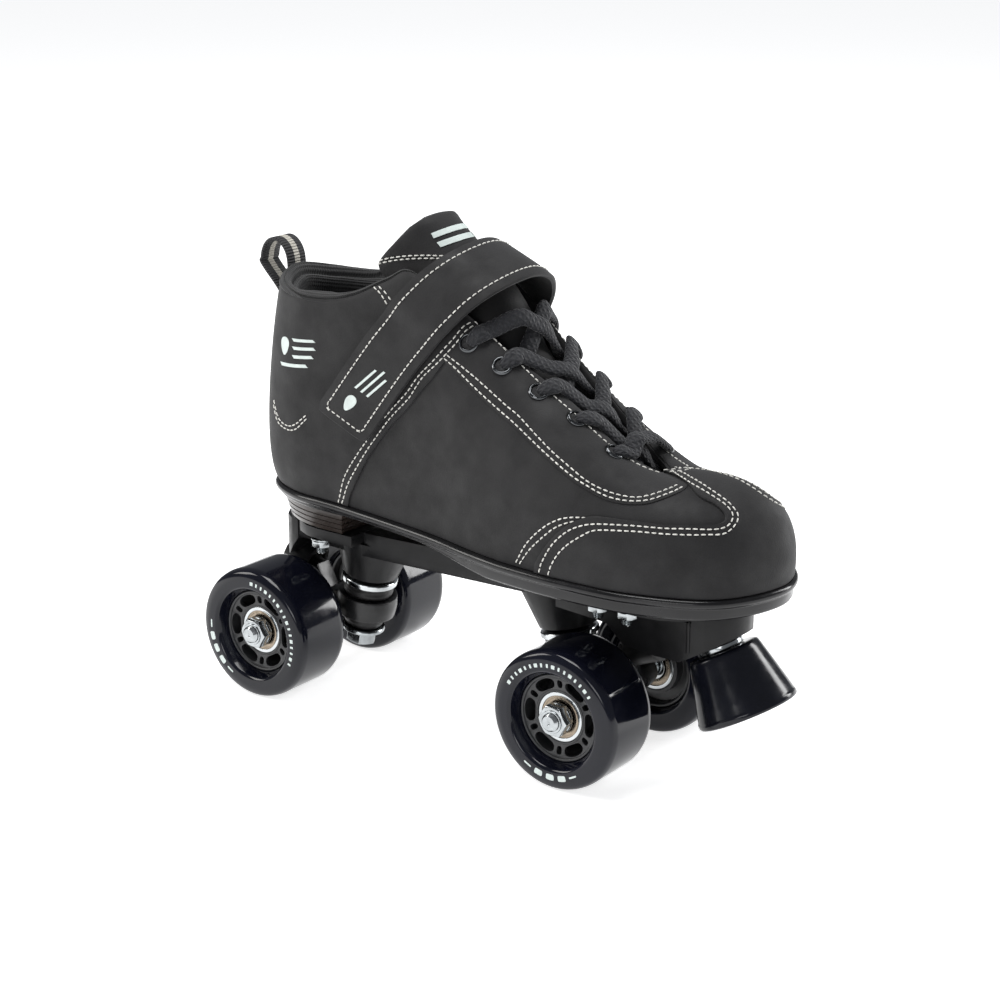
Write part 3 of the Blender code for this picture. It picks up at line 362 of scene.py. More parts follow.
print("finishes", len(bpy.data.materials))

# %% [markdown]
# Mesh tools. Most pieces here are one of three kinds: a loft through rings of points, a profile turned round
# an axis, or a copy of the model's own solid with its loose triangles joined and its edges rounded.

# %% Pieces and their places
def piece(name, mesh, body, materials, stands_for=(), angle=40.0):
    """A finished object: its mesh is given from the middle of the wheelbase and moved to its place here."""
    mesh.transform(Matrix.Translation(MIDDLE))
    mesh.name = name
    for material in materials:
        mesh.materials.append(material)
    mesh.shade_smooth()
    mesh.set_sharp_from_angle(angle=math.radians(angle))
    made = bpy.data.objects.new(name, mesh)
    bpy.context.scene.collection.objects.link(made)
    if body:
        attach(made, body)
    if stands_for:
        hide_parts(*stands_for)
    return made


def outwards(mesh):
    """Merges doubled points and turns the faces of a closed mesh outwards."""
    work = bmesh.new()
    work.from_mesh(mesh)
    bmesh.ops.remove_doubles(work, verts=work.verts, dist=1e-6)
    bmesh.ops.recalc_face_normals(work, faces=work.faces)
    work.to_mesh(mesh)
    work.free()
    return mesh


def settled(mesh, *modifiers):
    """The mesh after modifiers given as (kind, settings)."""
    obj = bpy.data.objects.new("work", mesh)
    bpy.context.scene.collection.objects.link(obj)
    for kind, settings in modifiers:
        modifier = obj.modifiers.new(kind, kind)
        for name, value in settings.items():
            setattr(modifier, name, value)
    graph = bpy.context.evaluated_depsgraph_get()
    done = bpy.data.meshes.new_from_object(obj.evaluated_get(graph), depsgraph=graph)
    bpy.data.objects.remove(obj, do_unlink=True)
    return done


def joined(*meshes):
    """Several meshes in one, each keeping its own material number if it has one."""
    work = bmesh.new()
    for mesh in meshes:
        work.from_mesh(mesh)
    result = bpy.data.meshes.new("joined")
    work.to_mesh(result)
    work.free()
    return result


def moved(mesh, matrix):
    copy = mesh.copy()
    copy.transform(matrix)
    return copy


def numbered(mesh, index):
    """Gives all faces of a mesh one material number."""
    mesh.polygons.foreach_set("material_index", [index] * len(mesh.polygons))
    return mesh


# %% Lofts, with a map that follows them
def loft(rings, around=True, caps=True, in_metres=False):
    """Faces through rings of points. The map runs 0 to 1 round each ring unless it is asked for in metres,
    and in metres along the loft."""
    rings = np.asarray(rings, float)
    count = rings.shape[1]
    spans = count if around else count - 1
    along = np.concatenate([[0], np.cumsum(np.linalg.norm(np.diff(rings, axis=0), axis=2).mean(1))])
    if around:
        across = np.arange(count + 1) / count
        if in_metres:
            across = across * np.linalg.norm(np.diff(rings, axis=1), axis=2).sum(1).mean()
    else:
        across = np.concatenate([[0], np.cumsum(np.linalg.norm(np.diff(rings, axis=1), axis=2).mean(0))])
    faces, corners = [], []
    for r in range(len(rings) - 1):
        for i in range(spans):
            j = (i + 1) % count
            faces.append((r * count + i, r * count + j, (r + 1) * count + j, (r + 1) * count + i))
            corners += [(across[i], along[r]), (across[i + 1], along[r]), (across[i + 1], along[r + 1]),
                        (across[i], along[r + 1])]
    if caps:
        last = (len(rings) - 1) * count
        faces.append(tuple(range(count))[::-1])
        faces.append(tuple(range(last, last + count)))
        corners += [(0.5, 0.0)] * count + [(0.5, along[-1])] * count
    mesh = bpy.data.meshes.new("loft")
    mesh.from_pydata([tuple(p) for p in rings.reshape(-1, 3)], [], faces)
    layer = mesh.uv_layers.new(name="weave")
    layer.data.foreach_set("uv", np.array(corners, float).ravel())
    return outwards(mesh) if caps or around else mesh


# %% Turned profiles with rounded corners
def rounded(points, radius, steps=4):
    """A closed outline whose corners are rounded: one radius, or one for each corner."""
    count = len(points)
    radii = radius if isinstance(radius, (list, tuple)) else [radius] * count
    found = []
    for i, (corner, size) in enumerate(zip(points, radii)):
        before, after = Vector(points[i - 1]) - Vector(corner), Vector(points[(i + 1) % count]) - Vector(corner)
        reach = min(size, before.length * 0.45, after.length * 0.45)
        if reach < 1e-6:
            found.append(tuple(corner))
            continue
        start, end = Vector(corner) + before.normalized() * reach, Vector(corner) + after.normalized() * reach
        for step in range(steps + 1):
            t = step / steps
            found.append(tuple((1 - t) ** 2 * start + 2 * t * (1 - t) * Vector(corner) + t * t * end))
    return found


def turned(profile, steps=72, closed=True):
    """(radius, height) points turned round Z into a closed solid."""
    mesh = bpy.data.meshes.new("turned")
    work = bmesh.new()
    verts = [work.verts.new((r, 0, z)) for r, z in profile]
    pairs = list(zip(verts, verts[1:])) + ([(verts[-1], verts[0])] if closed else [])
    edges = [work.edges.new(pair) for pair in pairs]
    bmesh.ops.spin(work, geom=verts + edges, cent=(0, 0, 0), axis=(0, 0, 1), dvec=(0, 0, 0),
                   angle=2 * math.pi, steps=steps, use_duplicate=False)
    bmesh.ops.remove_doubles(work, verts=work.verts, dist=2e-6)
    bmesh.ops.recalc_face_normals(work, faces=work.faces)
    work.to_mesh(mesh)
    work.free()
    return mesh


def disc(profile, radius=0.3 * MM, steps=72):
    """A solid with no hole: the profile starts and ends on the axis, and its other corners are rounded."""
    points = rounded([Vector(p) for p in profile], [0] + [radius] * (len(profile) - 2) + [0])
    return turned(points, steps, closed=False)


# %% A model's solid with its edges rounded
def softened(node, width=0.5 * MM, segments=2):
    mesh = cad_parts[node].data.copy()
    mesh.materials.clear()
    mesh.transform(Matrix.Translation(-MIDDLE))
    work = bmesh.new()
    work.from_mesh(mesh)
    bmesh.ops.remove_doubles(work, verts=work.verts, dist=2e-6)
    bmesh.ops.dissolve_limit(work, angle_limit=math.radians(1.5), verts=work.verts, edges=work.edges)
    work.to_mesh(mesh)
    work.free()
    return settled(mesh, ("BEVEL", {"width": width, "segments": segments, "limit_method": "ANGLE",
                                    "angle_limit": math.radians(32), "use_clamp_overlap": True}),
                   ("TRIANGULATE", {}))

# %% [markdown]
# The upper is one closed surface from the sole to the rim. Twelve stations go round each side of the foot from
# heel to toe, and each rises from the sole's edge to the rim on a cubic curve. The tables are the model's own,
# in millimetres, so anything laid on the surface, a panel, a seam or an eyelet, is given as a station number
# and a share of the height.

# %% The upper's tables
OUTER_EDGE = np.array([(-102, 0), (-95, -18), (-74, -29), (-45, -31), (-20, -33), (0, -35), (15, -37),
                       (35, -41), (60, -44), (85, -45), (116, -42), (148, -27), (160.5, 4)]) * MM
INNER_EDGE = np.array([(-102, 0), (-95, 18), (-74, 29), (-45, 30), (-20, 30), (0, 31), (15, 33),
                       (35, 36), (60, 40), (85, 43), (117, 42), (147.5, 29), (160.5, 4)]) * MM
TOP_EDGE = np.array([(-97, 0, 193), (-90, 18, 190), (-73, 29, 187.5), (-54, 31.5, 188), (-37, 31, 192.5),
                     (-22, 28, 200), (-8, 25, 205), (22, 21.5, 187.5), (45, 17.5, 171.5), (66, 14, 158.5),
                     (90, 10.8, 140.5), (102, 5.5, 132.5), (105, 0, 131.5)]) * MM
INNER_DROP = np.array([0, 0, 0, 0, 0, 0, 0, 0.5, 2, 3.5, 4, 1.5, 0]) * MM
LOW_REACH = np.array([.12, .15, .25, .38, .5, .5, .55, .6, .65, .68, .72, .85, .92])
TOP_REACH = np.array([.4, .4, .4, .4, .4, .4, .4, .42, .45, .48, .52, .62, .7])
TOP_LIFT = np.array([0, 0, 0, 0, -.02, -.04, -.05, -.06, -.06, -.06, -.04, .05, .15])
STAND_OUT = np.array([11, 9.5, 6, 3, 0, 0, 0, 1, 2, 3, 3, 3, 3.5]) * MM
INNER_FALL = np.array([0, 0, 0, 0, 0, .02, .04, .1, .18, .21, .2, .08, 0])
EYELETS = np.array([(91.7, 19.5), (73.9, 21.5), (56.5, 24.0), (39.5, 26.3), (23.6, 28.3)]) * MM
WALL, GAP, FINE = 2.6 * MM, 0.3 * MM, 20


def smooth(points, steps, closed=False):
    """Points on a Catmull-Rom curve: steps of them for each span, the given points among them."""
    given = np.asarray(points, float)
    if closed:
        padded = np.vstack([given[-1], given, given[0], given[1]])
    else:
        padded = np.vstack([2 * given[0] - given[1], given, 2 * given[-1] - given[-2]])
    found = []
    for i in range(1, len(padded) - 2):
        a, b, c, d = padded[i - 1:i + 3]
        for t in np.arange(steps) / steps:
            found.append(0.5 * (2 * b + (c - a) * t + (2 * a - 5 * b + 4 * c - d) * t ** 2
                                + (3 * b - a - 3 * c + d) * t ** 3))
    if not closed:
        found.append(given[-1])
    return np.array(found)


def both_sides(values):
    values = np.asarray(values, float)
    values = values[:, None] if values.ndim == 1 else values
    return smooth(np.concatenate([values, values[-2:0:-1]]), FINE, closed=True)


def sole_top(x):
    return np.interp(x, np.array([-60, 0, 50]) * MM, np.array([96, 94, 92]) * MM)


def sole_bottom(x):
    return np.interp(x, np.array([-28, 0, 42]) * MM, np.array([89.5, 88, 82.3]) * MM)


def inset(loop, distance):
    """A closed loop of (x, y) points moved inwards."""
    ahead = np.roll(loop, -1, axis=0) - np.roll(loop, 1, axis=0)
    return loop + np.stack([-ahead[:, 1], ahead[:, 0]], 1) / np.linalg.norm(ahead, axis=1)[:, None] * distance


# %% The upper as a surface
foot_loop = smooth(np.vstack([OUTER_EDGE, INNER_EDGE[-2:0:-1]]), FINE, closed=True)
inner_top = TOP_EDGE[-2:0:-1] - np.column_stack([0 * INNER_DROP, 0 * INNER_DROP, INNER_DROP])[-2:0:-1]
rim_loop = smooth(np.vstack([TOP_EDGE * (1, -1, 1), inner_top]), FINE, closed=True)
foot_points = np.column_stack([foot_loop, sole_top(foot_loop[:, 0]) + GAP])
rise = rim_loop[:, 2] - foot_points[:, 2]
is_inner = np.arange(len(foot_loop)) > 12 * FINE
fall = both_sides(INNER_FALL)[:, 0] * is_inner
low_points = foot_points + np.column_stack([
    (foot_loop - inset(foot_loop, 1.0)) * both_sides(STAND_OUT), rise * (both_sides(LOW_REACH)[:, 0] - fall)])
high_points = rim_loop + np.column_stack([
    (foot_points - rim_loop)[:, :2] * both_sides(TOP_REACH), rise * (both_sides(TOP_LIFT)[:, 0] - fall * 0.7)])
CONTROLS = (foot_points, low_points, high_points, rim_loop)


def on_upper(stations, shares, lift=0.0):
    """Points on the upper's outside at station numbers and shares of its height, lifted off it."""
    stations, shares = np.broadcast_arrays(np.asarray(stations, float), np.asarray(shares, float))

    def bare(u, t):
        at = (u % 24) * FINE
        before = np.floor(at).astype(int) % len(foot_loop)
        after, mix = (before + 1) % len(foot_loop), (at - np.floor(at))[..., None]
        a, b, c, d = (rows[before] * (1 - mix) + rows[after] * mix for rows in CONTROLS)
        t = t[..., None]
        return (1 - t) ** 3 * a + 3 * t * (1 - t) ** 2 * b + 3 * t ** 2 * (1 - t) * c + t ** 3 * d

    point = bare(stations, shares)
    inside = np.clip(shares, 0.012, 0.988)
    ahead = bare(stations + 0.05, inside) - bare(stations - 0.05, inside)
    upwards = bare(stations, inside + 0.01) - bare(stations, inside - 0.01)
    normal = np.cross(ahead, upwards)
    normal /= np.linalg.norm(normal, axis=-1)[..., None]
    return point + normal * np.asarray(lift)[..., None], normal


print("outside of the upper at the ball of the foot", on_upper(9, 0.3)[0].round(4))


# %% [markdown]
# Leather has thickness, so each panel is a sheet of points on the surface with a second sheet behind it, the
# two joined round their edge. A panel is skived thin where it is sewn down, so its edge is rounded off by
# letting the outer sheet sink a little in its last millimetre.

# %% A sheet of leather
def leather_sheet(stations, shares, lift, thickness, edge_drop=0.35 * MM):
    """A closed sheet through a grid of places on the upper, its outer face at the given lift."""
    rows, columns = stations.shape
    taper = np.zeros((rows, columns))
    points = on_upper(stations, shares)[0]
    for edge in (points[:, :1], points[:, -1:], points[:1], points[-1:]):
        near = np.linalg.norm(points - edge, axis=2)
        taper = np.maximum(taper, np.clip(1 - near / (1.1 * MM), 0, 1) ** 2)
    outer, normal = on_upper(stations, shares, lift - edge_drop * taper)
    inner = outer - normal * (thickness - edge_drop * taper)[..., None]
    count = rows * columns
    index = np.arange(count).reshape(rows, columns)
    quads = np.stack([index[:-1, :-1], index[:-1, 1:], index[1:, 1:], index[1:, :-1]], -1).reshape(-1, 4)
    faces = [tuple(q) for q in quads] + [tuple(q[::-1] + count) for q in quads]
    rim = [*index[0, :], *index[1:, -1], *index[-1, -2::-1], *index[-2:0:-1, 0]]
    faces += [(b, a, a + count, b + count) for a, b in zip(rim, rim[1:] + rim[:1])]
    mesh = bpy.data.meshes.new("sheet")
    mesh.from_pydata([tuple(p) for p in np.concatenate([outer.reshape(-1, 3), inner.reshape(-1, 3)])], [], faces)
    return outwards(mesh)


def curve_through(places, spacing=0.02):
    """A smooth curve through (station, share) places, with points about evenly spaced on the upper."""
    fine = smooth(places, 24)
    points = on_upper(fine[:, 0], fine[:, 1])[0]
    length = np.concatenate([[0], np.cumsum(np.linalg.norm(np.diff(points, axis=0), axis=1))])
    even = np.linspace(0, length[-1], max(3, int(length[-1] / (spacing / 20))))
    return np.column_stack([np.interp(even, length, fine[:, i]) for i in (0, 1)])


def mirrored(places):
    return [(24 - u, t) for u, t in places]


# %% [markdown]
# The shell of the upper is one piece of nubuck, closed at the rim and open below, where the sole hides it.

# %% Upper shell
columns = np.arange(0, 24, 0.1)
heights = np.linspace(0, 1, 61)
outer_skin, skin_normal = on_upper(columns[None, :].repeat(61, 0), heights[:, None].repeat(240, 1))
inner_skin = outer_skin - skin_normal * WALL
shell_rings = [*outer_skin, *(outer_skin[-1] * w + inner_skin[-1] * (1 - w) + (0, 0, 0.0006) for w in (0.7, 0.3)),
               *inner_skin[::-1]]
shell_mesh = loft([*shell_rings, shell_rings[0]], caps=False)
piece("upper_nubuck", shell_mesh, "boot", [nubuck], ["upper_shell"])
print("upper faces", len(shell_mesh.polygons))

# %% [markdown]
# Three panels lie on the shell. The eyestay follows the lace opening, the rear quarter wraps the ankle and
# heel, and the toe overlay covers the toe cap and sends a tongue of leather up the ridge of the toe. The eyestay
# is lowest, so the other two cover its ends.

# %% Panel outlines as (station, share of height)
TOE_EDGE = [(8.42, 0.0), (8.47, .035), (8.735, .1105), (8.97, .172), (9.242, .2397), (9.558, .3077),
            (10.051, .3600), (10.51, .3740), (10.802, .3832), (11.131, .3926), (11.258, .4405),
            (11.222, .5345), (11.10, .642), (11.27, .86), (11.454, .983)]
TOE_INNER_EDGE = [(15.58, 0.0), (15.53, .035), (15.265, .1105), (15.03, .172), (14.758, .2397),
                  (14.442, .3077), (13.949, .3600), (13.49, .3740), (13.198, .3832), (12.72, .3926),
                  (12.34, .4405), (12.27, .5345), (12.30, .642), (12.42, .86), (12.55, .983)]
QUARTER_EDGE = [(3.09, 0.0), (3.195, .0639), (3.512, .1603), (3.823, .2237), (4.413, .3096), (5.133, .3804),
                (5.964, .4405), (6.459, .5655), (6.64, .66), (6.90, .82), (6.97, .905), (7.02, .985)]
EYESTAY_EDGE = [(6.38, .535), (6.731, .5335), (7.155, .5205), (7.579, .5076), (7.926, .496), (8.302, .472),
                (8.738, .440), (9.132, .413), (9.402, .413), (9.646, .4205), (9.888, .445), (10.13, .4785),
                (10.337, .5205), (10.575, .589), (10.919, .684), (11.25, .78)]

# %% Eyestay, quarter and toe overlay
def eyestay_half(flip):
    low = curve_through(EYESTAY_EDGE, 0.024)
    low = low[low[:, 0] < 11.2]
    shares = low[:, 1][None, :] + (0.985 - low[:, 1])[None, :] * np.linspace(0, 1, 34)[:, None]
    stations = low[:, 0][None, :].repeat(34, 0)
    if flip:
        stations, shares = (24 - stations)[:, ::-1], shares[:, ::-1]
    return leather_sheet(stations, shares, 0.7 * MM, 0.65 * MM, 0.25 * MM)


eyestay_meshes = [eyestay_half(False), eyestay_half(True)]


def panel_rows(left, right, columns):
    """Rows that run from one edge curve to the other, each row at one height."""
    shares = left[:, 1][:, None].repeat(columns, 1)
    span = np.linspace(0, 1, columns)[None, :]
    return left[:, 0][:, None] * (1 - span) + right[:, None] * span, shares


toe_left = curve_through(TOE_EDGE, 0.02)
right_table = np.array(TOE_INNER_EDGE)
toe_right = np.interp(toe_left[:, 1], right_table[:, 1], right_table[:, 0])
rising = np.maximum.accumulate(toe_left[:, 1]) + np.arange(len(toe_left)) * 1e-7
toe_left = np.column_stack([toe_left[:, 0], rising])
toe_mesh = leather_sheet(*panel_rows(toe_left, toe_right, 150), 1.3 * MM, 1.2 * MM)
piece("toe_overlay", toe_mesh, "boot", [nubuck])

quarter_left = curve_through(QUARTER_EDGE, 0.024)
quarter_mesh = leather_sheet(*panel_rows(quarter_left, -quarter_left[:, 0], 190), 1.1 * MM, 1.0 * MM)
piece("rear_quarter", quarter_mesh, "boot", [nubuck])
print("toe overlay faces", len(toe_mesh.polygons), "quarter faces", len(quarter_mesh.polygons))

# %% [markdown]
# Things that lie on the upper, such as the strap, are found by looking straight at it from outside and asking
# where that line meets the leather. A search tree over the upper's faces answers that quickly.

# %% Finding the surface
skin_faces = [(r * 240 + i, r * 240 + (i + 1) % 240, (r + 1) * 240 + (i + 1) % 240, (r + 1) * 240 + i)
              for r in range(60) for i in range(240)]
SKIN = BVHTree.FromPolygons([Vector(p) for p in outer_skin.reshape(-1, 3)], skin_faces)


def surface_under(point, towards):
    towards = Vector(towards).normalized()
    hit, normal, _, _ = SKIN.ray_cast(Vector(point) - towards * 0.1, towards)
    if hit is not None and normal.dot(towards) > 0:
        normal = -normal
    return hit, normal


eyelet_frames = []
for side in (-1, 1):
    for x, y in EYELETS:
        hit, normal = surface_under((x, side * y, 0.25), (0, 0, -1))
        eyelet_frames.append(Matrix.Translation(hit) @ normal.to_track_quat("Z", "X").to_matrix().to_4x4())
print("eyelets", [tuple(round(v * 1000, 1) for v in f.translation) for f in eyelet_frames[:5]])

# %% [markdown]
# The strap is two layers of nubuck, so its face is slightly crowned and its edges are turned under. Its free
# end has two cut corners. It is one piece.

# %% Ankle strap
STRAP_LINE = np.array([(-42, -40, 134.5), (-27, -40, 154), (-12, -38, 173), (2, -34.5, 189.5),
                       (12, -29, 201.5), (20, -18, 209.5), (24, 0, 213), (22, 16, 208.5), (15, 27, 197),
                       (5, 33, 181), (-1, 37, 163), (-3, 39, 146)]) * MM
STRAP_ACROSS = Vector((0.92, 0.0, -0.39)).normalized()
STRAP_HALF, STRAP_THICK, STRAP_REST = 15.0 * MM, 2.4 * MM, 1.9 * MM


def strap_rows():
    rows = []
    for at, middle in enumerate(smooth(STRAP_LINE, 2)):
        row = []
        for share in (-1, -0.5, 0, 0.5, 1):
            point = Vector(middle) + STRAP_ACROSS * STRAP_HALF * share
            side = math.copysign(1, middle[1]) if abs(middle[1]) > 1e-6 else 1
            hit, _ = surface_under((point.x, side * 0.0001, point.z), (0, -side, 0))
            if hit is not None:
                lifted = abs(hit.y) + STRAP_THICK + STRAP_REST * (1 if at <= 5 else 2)
                if at <= 5 or at >= 19 or lifted > abs(point.y):
                    point = Vector((point.x, side * lifted, point.z))
            row.append(point)
        rows.append(row)
    return np.array(rows)


coarse_strap = strap_rows()
strap_grid = np.stack([smooth(coarse_strap[:, i], 6) for i in range(5)], 1)
strap_grid = np.stack([smooth(row, 5) for row in strap_grid])


def grid_normals(grid, centre):
    ahead, across = np.gradient(grid, axis=0), np.gradient(grid, axis=1)
    normal = np.cross(ahead, across)
    normal /= np.linalg.norm(normal, axis=2)[..., None]
    inwards = ((grid - np.asarray(centre)) * normal).sum(2).mean() < 0
    return -normal if inwards else normal


def strap_place(row, share, lift):
    """A place on the strap: row number, share across from -1 to 1, and lift off its flat face."""
    r, c = np.clip(row, 0, len(strap_grid) - 1.001), np.clip((share + 1) * 10, 0, 19.999)
    i, j = int(r), int(c)
    f, g = r - i, c - j
    four = [(i, j, (1 - f) * (1 - g)), (i + 1, j, f * (1 - g)), (i, j + 1, (1 - f) * g), (i + 1, j + 1, f * g)]
    point = sum(strap_grid[a, b] * w for a, b, w in four)
    normal = sum(strap_normals[a, b] * w for a, b, w in four)
    return point + normal / np.linalg.norm(normal) * lift, normal / np.linalg.norm(normal)


strap_normals = grid_normals(strap_grid, (0, 0, 0.15))
row_length = np.concatenate([[0], np.cumsum(np.linalg.norm(np.diff(strap_grid[:, 10], axis=0), axis=1))])
end_rows = [*np.interp(np.array([0, .4, 1, 2, 3.5, 5, 7]) * MM, row_length, np.arange(len(row_length)))]
strap_end_shares = dict(zip(end_rows, [.86, .89, .92, .95, .985, 1.0, 1.0]))
body_rows = [*end_rows, *range(int(end_rows[-1]) + 1, len(strap_grid))]
strap_rings = []
for row in body_rows:
    wide = strap_end_shares.get(row, 1.0)
    half = 0.55 if row == end_rows[0] else 1.0
    face = [strap_place(row, s * wide, (0.5 * (1 - s ** 4) - (1 - half)) * MM)[0] for s in np.linspace(-1, 1, 17)]
    sides = [strap_place(row, s * wide, -1.2 * MM)[0] + np.array(STRAP_ACROSS) * s * 0.35 * MM for s in (1, -1)]
    under = [strap_place(row, s * wide * .985, -(2.4 - (1 - half)) * MM)[0] for s in np.linspace(1, -1, 9)]
    strap_rings.append([*face, sides[0], *under, sides[1]])
strap_mesh = loft(strap_rings)
strap = piece("strap_nubuck", strap_mesh, None, [nubuck])


def with_strap(made):
    """The piece's place is baked into its mesh."""
    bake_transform(made)


with_strap(strap)
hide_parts("ankle_strap", "strap_free_end")
print("strap length", round(row_length[-1], 4))

# %% [markdown]
# The tongue is foam between two sheets of leather, thick and soft at its top edge. It is lofted along its crown
# from rings that swell in the middle, and closes in a rounded end.

# %% Tongue
TONGUE = np.array([(101, 125.5, 100, 6, 123), (88, 136.5, 86, 9, 130.5), (75, 146.5, 72, 11.5, 140),
                   (60, 158.5, 56, 13.5, 150.5), (49, 166.5, 43, 14.5, 158), (40, 176, 30, 16, 166.5),
                   (30, 193, 12, 18.5, 179), (16, 208.5, -12, 20, 190.5), (2, 218.5, -32, 21.5, 203),
                   (-13, 229, -24, 23, 217)]) * MM


def inner_drop(x):
    return np.interp(x, TOP_EDGE[6:, 0], INNER_DROP[6:])


def tongue_row(cx, cz, ex, ey, ez, shares):
    bend = (1 - np.sqrt(1 - 0.96 * shares ** 2)) / (1 - math.sqrt(0.04))
    drop = inner_drop(cx) * (1 + shares) / 2
    return np.column_stack([cx + (ex - cx) * bend, ey * shares, cz + (ez - cz) * bend - drop])


tongue_table = smooth(TONGUE, 10)
shares = np.sin(np.linspace(-math.pi / 2, math.pi / 2, 33))
crown_length = np.concatenate([[0], np.cumsum(np.linalg.norm(np.diff(tongue_table[:, :2], axis=0), axis=1))])
end_width = np.clip((crown_length[-1] - crown_length) / (17 * MM), 0, 1)
end_width = 0.42 + 0.58 * (1 - (1 - end_width) ** 2.4) ** (1 / 2.4)
full_grid = np.array([tongue_row(*row, shares) for row in tongue_table])
full_normals = grid_normals(full_grid, (0, 0, 0.12))
tongue_grid = np.array([tongue_row(*row, shares * wide) for row, wide in zip(tongue_table, end_width)])
tongue_normals = np.array([np.column_stack([np.interp(shares * wide, shares, row[:, i]) for i in range(3)])
                           for row, wide in zip(full_normals, end_width)])
tongue_length = np.concatenate([[0], np.cumsum(np.linalg.norm(np.diff(tongue_grid[:, 16], axis=0), axis=1))])
to_end = tongue_length[-1] - tongue_length
tongue_rings = []
for row, normal, left in zip(tongue_grid, tongue_normals, to_end):
    swell = math.sqrt(max(0.0, 1 - (1 - min(1, left / (3.4 * MM))) ** 2)) * 0.94 + 0.06
    puff = (1 - np.abs(shares) ** 6) ** 0.5 * swell
    middle = row - normal * 2.3 * MM
    top = middle + normal * (2.3 * puff)[:, None] * MM
    foot = middle - normal * (2.5 * puff)[:, None] * MM
    tongue_rings.append([*top, *foot[-2:0:-1]])
tongue_mesh = loft(tongue_rings, in_metres=True)
tongue = piece("tongue_leather", tongue_mesh, "boot", [nubuck], ["tongue"])
print("tongue length", round(tongue_length[-1], 4))

# %% [markdown]
# The collar is lined with a knit over foam that rolls over the rim. One closed ring of points is swept round
# the heel from one side of the lace opening to the other: flat against the shell, round over the rim, and
# swollen inside. It thins to nothing where it meets the tongue.

# %% Collar lining
collar_rings = []
for station in np.linspace(-6.6, 6.6, 200):
    full = min(1.0, (6.6 - abs(station)) / 1.6 + 0.02)
    thick = full if abs(station) < 4.6 else full * (1 - 0.55 * min(1, (abs(station) - 4.6) / 1.6))
    low = 0.62 + 0.22 * max(0, abs(station) - 5) / 1.6
    outside = [on_upper(station, t, -(WALL + GAP * 0.3))[0] for t in np.linspace(low, 0.995, 9)]
    rim, rim_normal = on_upper(station, 1.0)
    roll = [rim - rim_normal * WALL * (1 - a) + (0, 0, b * MM * (0.4 + 0.6 * full)) for a, b in
            ((0.45, 0.9), (0.66, 1.9), (0.4, 2.9), (-0.2, 3.2), (-0.9, 2.8))]
    inside = []
    for t in np.linspace(1.0, low, 14):
        bulge = 3.0 + 3.4 * math.sin(math.pi * min(1, (1.0 - t) / (1.0 - low)) ** 0.8) * thick + 1.6 * thick
        inside.append(on_upper(station, t, -bulge * MM)[0])
    collar_rings.append([*outside, *roll, *inside])
collar_mesh = loft(collar_rings, in_metres=True)
collar = piece("collar_lining", collar_mesh, "boot", [knit], ["collar_padding"], angle=80)
print("collar faces", len(collar_mesh.polygons))

# %% Knit cuff at the heel
cuff_stations = np.linspace(-2.3, 2.3, 90)
cuff_low = 0.865 + 0.125 * (np.abs(cuff_stations) / 2.3) ** 1.6
cuff_rings = []
for station, low in zip(cuff_stations, cuff_low):
    swell = 1 - (abs(station) / 2.3) ** 4
    front = [on_upper(station, t, (0.3 + 1.5 * swell * math.sin(math.pi * a) ** 0.5) * MM)[0]
             for t, a in zip(np.linspace(low, 1.0, 12), np.linspace(0.0, 0.7, 12))]
    rim, rim_normal = on_upper(station, 1.0)
    over = [rim + rim_normal * d * MM + (0, 0, h * MM * swell) for d, h in ((.7, 1.4), (-.3, 2.2), (-1.6, 1.9))]
    behind = [on_upper(station, t, -1.4 * MM)[0] for t in (0.99, low)]
    cuff_rings.append([*front, *over, *behind])
cuff = piece("collar_cuff", loft(cuff_rings, in_metres=True), "boot", [knit], angle=80)

# %% [markdown]
# The footbed is a thin board with cloth on it. It has a rounded rim, and the cloth is a plain weave.

# %% Footbed
def capped(rings):
    """A closed solid through rings of points that run round the foot, capped side to side."""
    mesh = loft(rings, caps=False)
    work = bmesh.new()
    work.from_mesh(mesh)
    bmesh.ops.remove_doubles(work, verts=work.verts, dist=1e-9)
    work.verts.ensure_lookup_table()
    count, last = len(rings[0]), (len(rings) - 1) * len(rings[0])
    for first, flip in ((0, False), (last, True)):
        for i in range(count // 2):
            corners = list(dict.fromkeys([i, i + 1, (count - i - 1) % count, (count - i) % count]))
            work.faces.new([work.verts[first + c] for c in (corners[::-1] if flip else corners)])
    bmesh.ops.recalc_face_normals(work, faces=work.faces)
    work.to_mesh(mesh)
    work.free()
    return mesh


def ring_at(distance, height):
    loop = inset(foot_loop[::4], distance)
    return np.column_stack([loop, sole_top(loop[:, 0]) + height])


bed = capped([ring_at(d * MM, z * MM) for d, z in ((3.8, .3), (3.8, 3.0), (4.1, 3.5), (4.8, 3.8))])
piece("footbed_cloth", bed, "boot", [footbed], ["insole"])

# %% [markdown]
# The sole is moulded rubber: a flat slab whose side leans in, under a bright bead that stands out round the
# welt. The heel stack under it tapers to the ground side and has three cut grooves. Both follow the foot's
# outline, so each ring is that outline moved out or in.

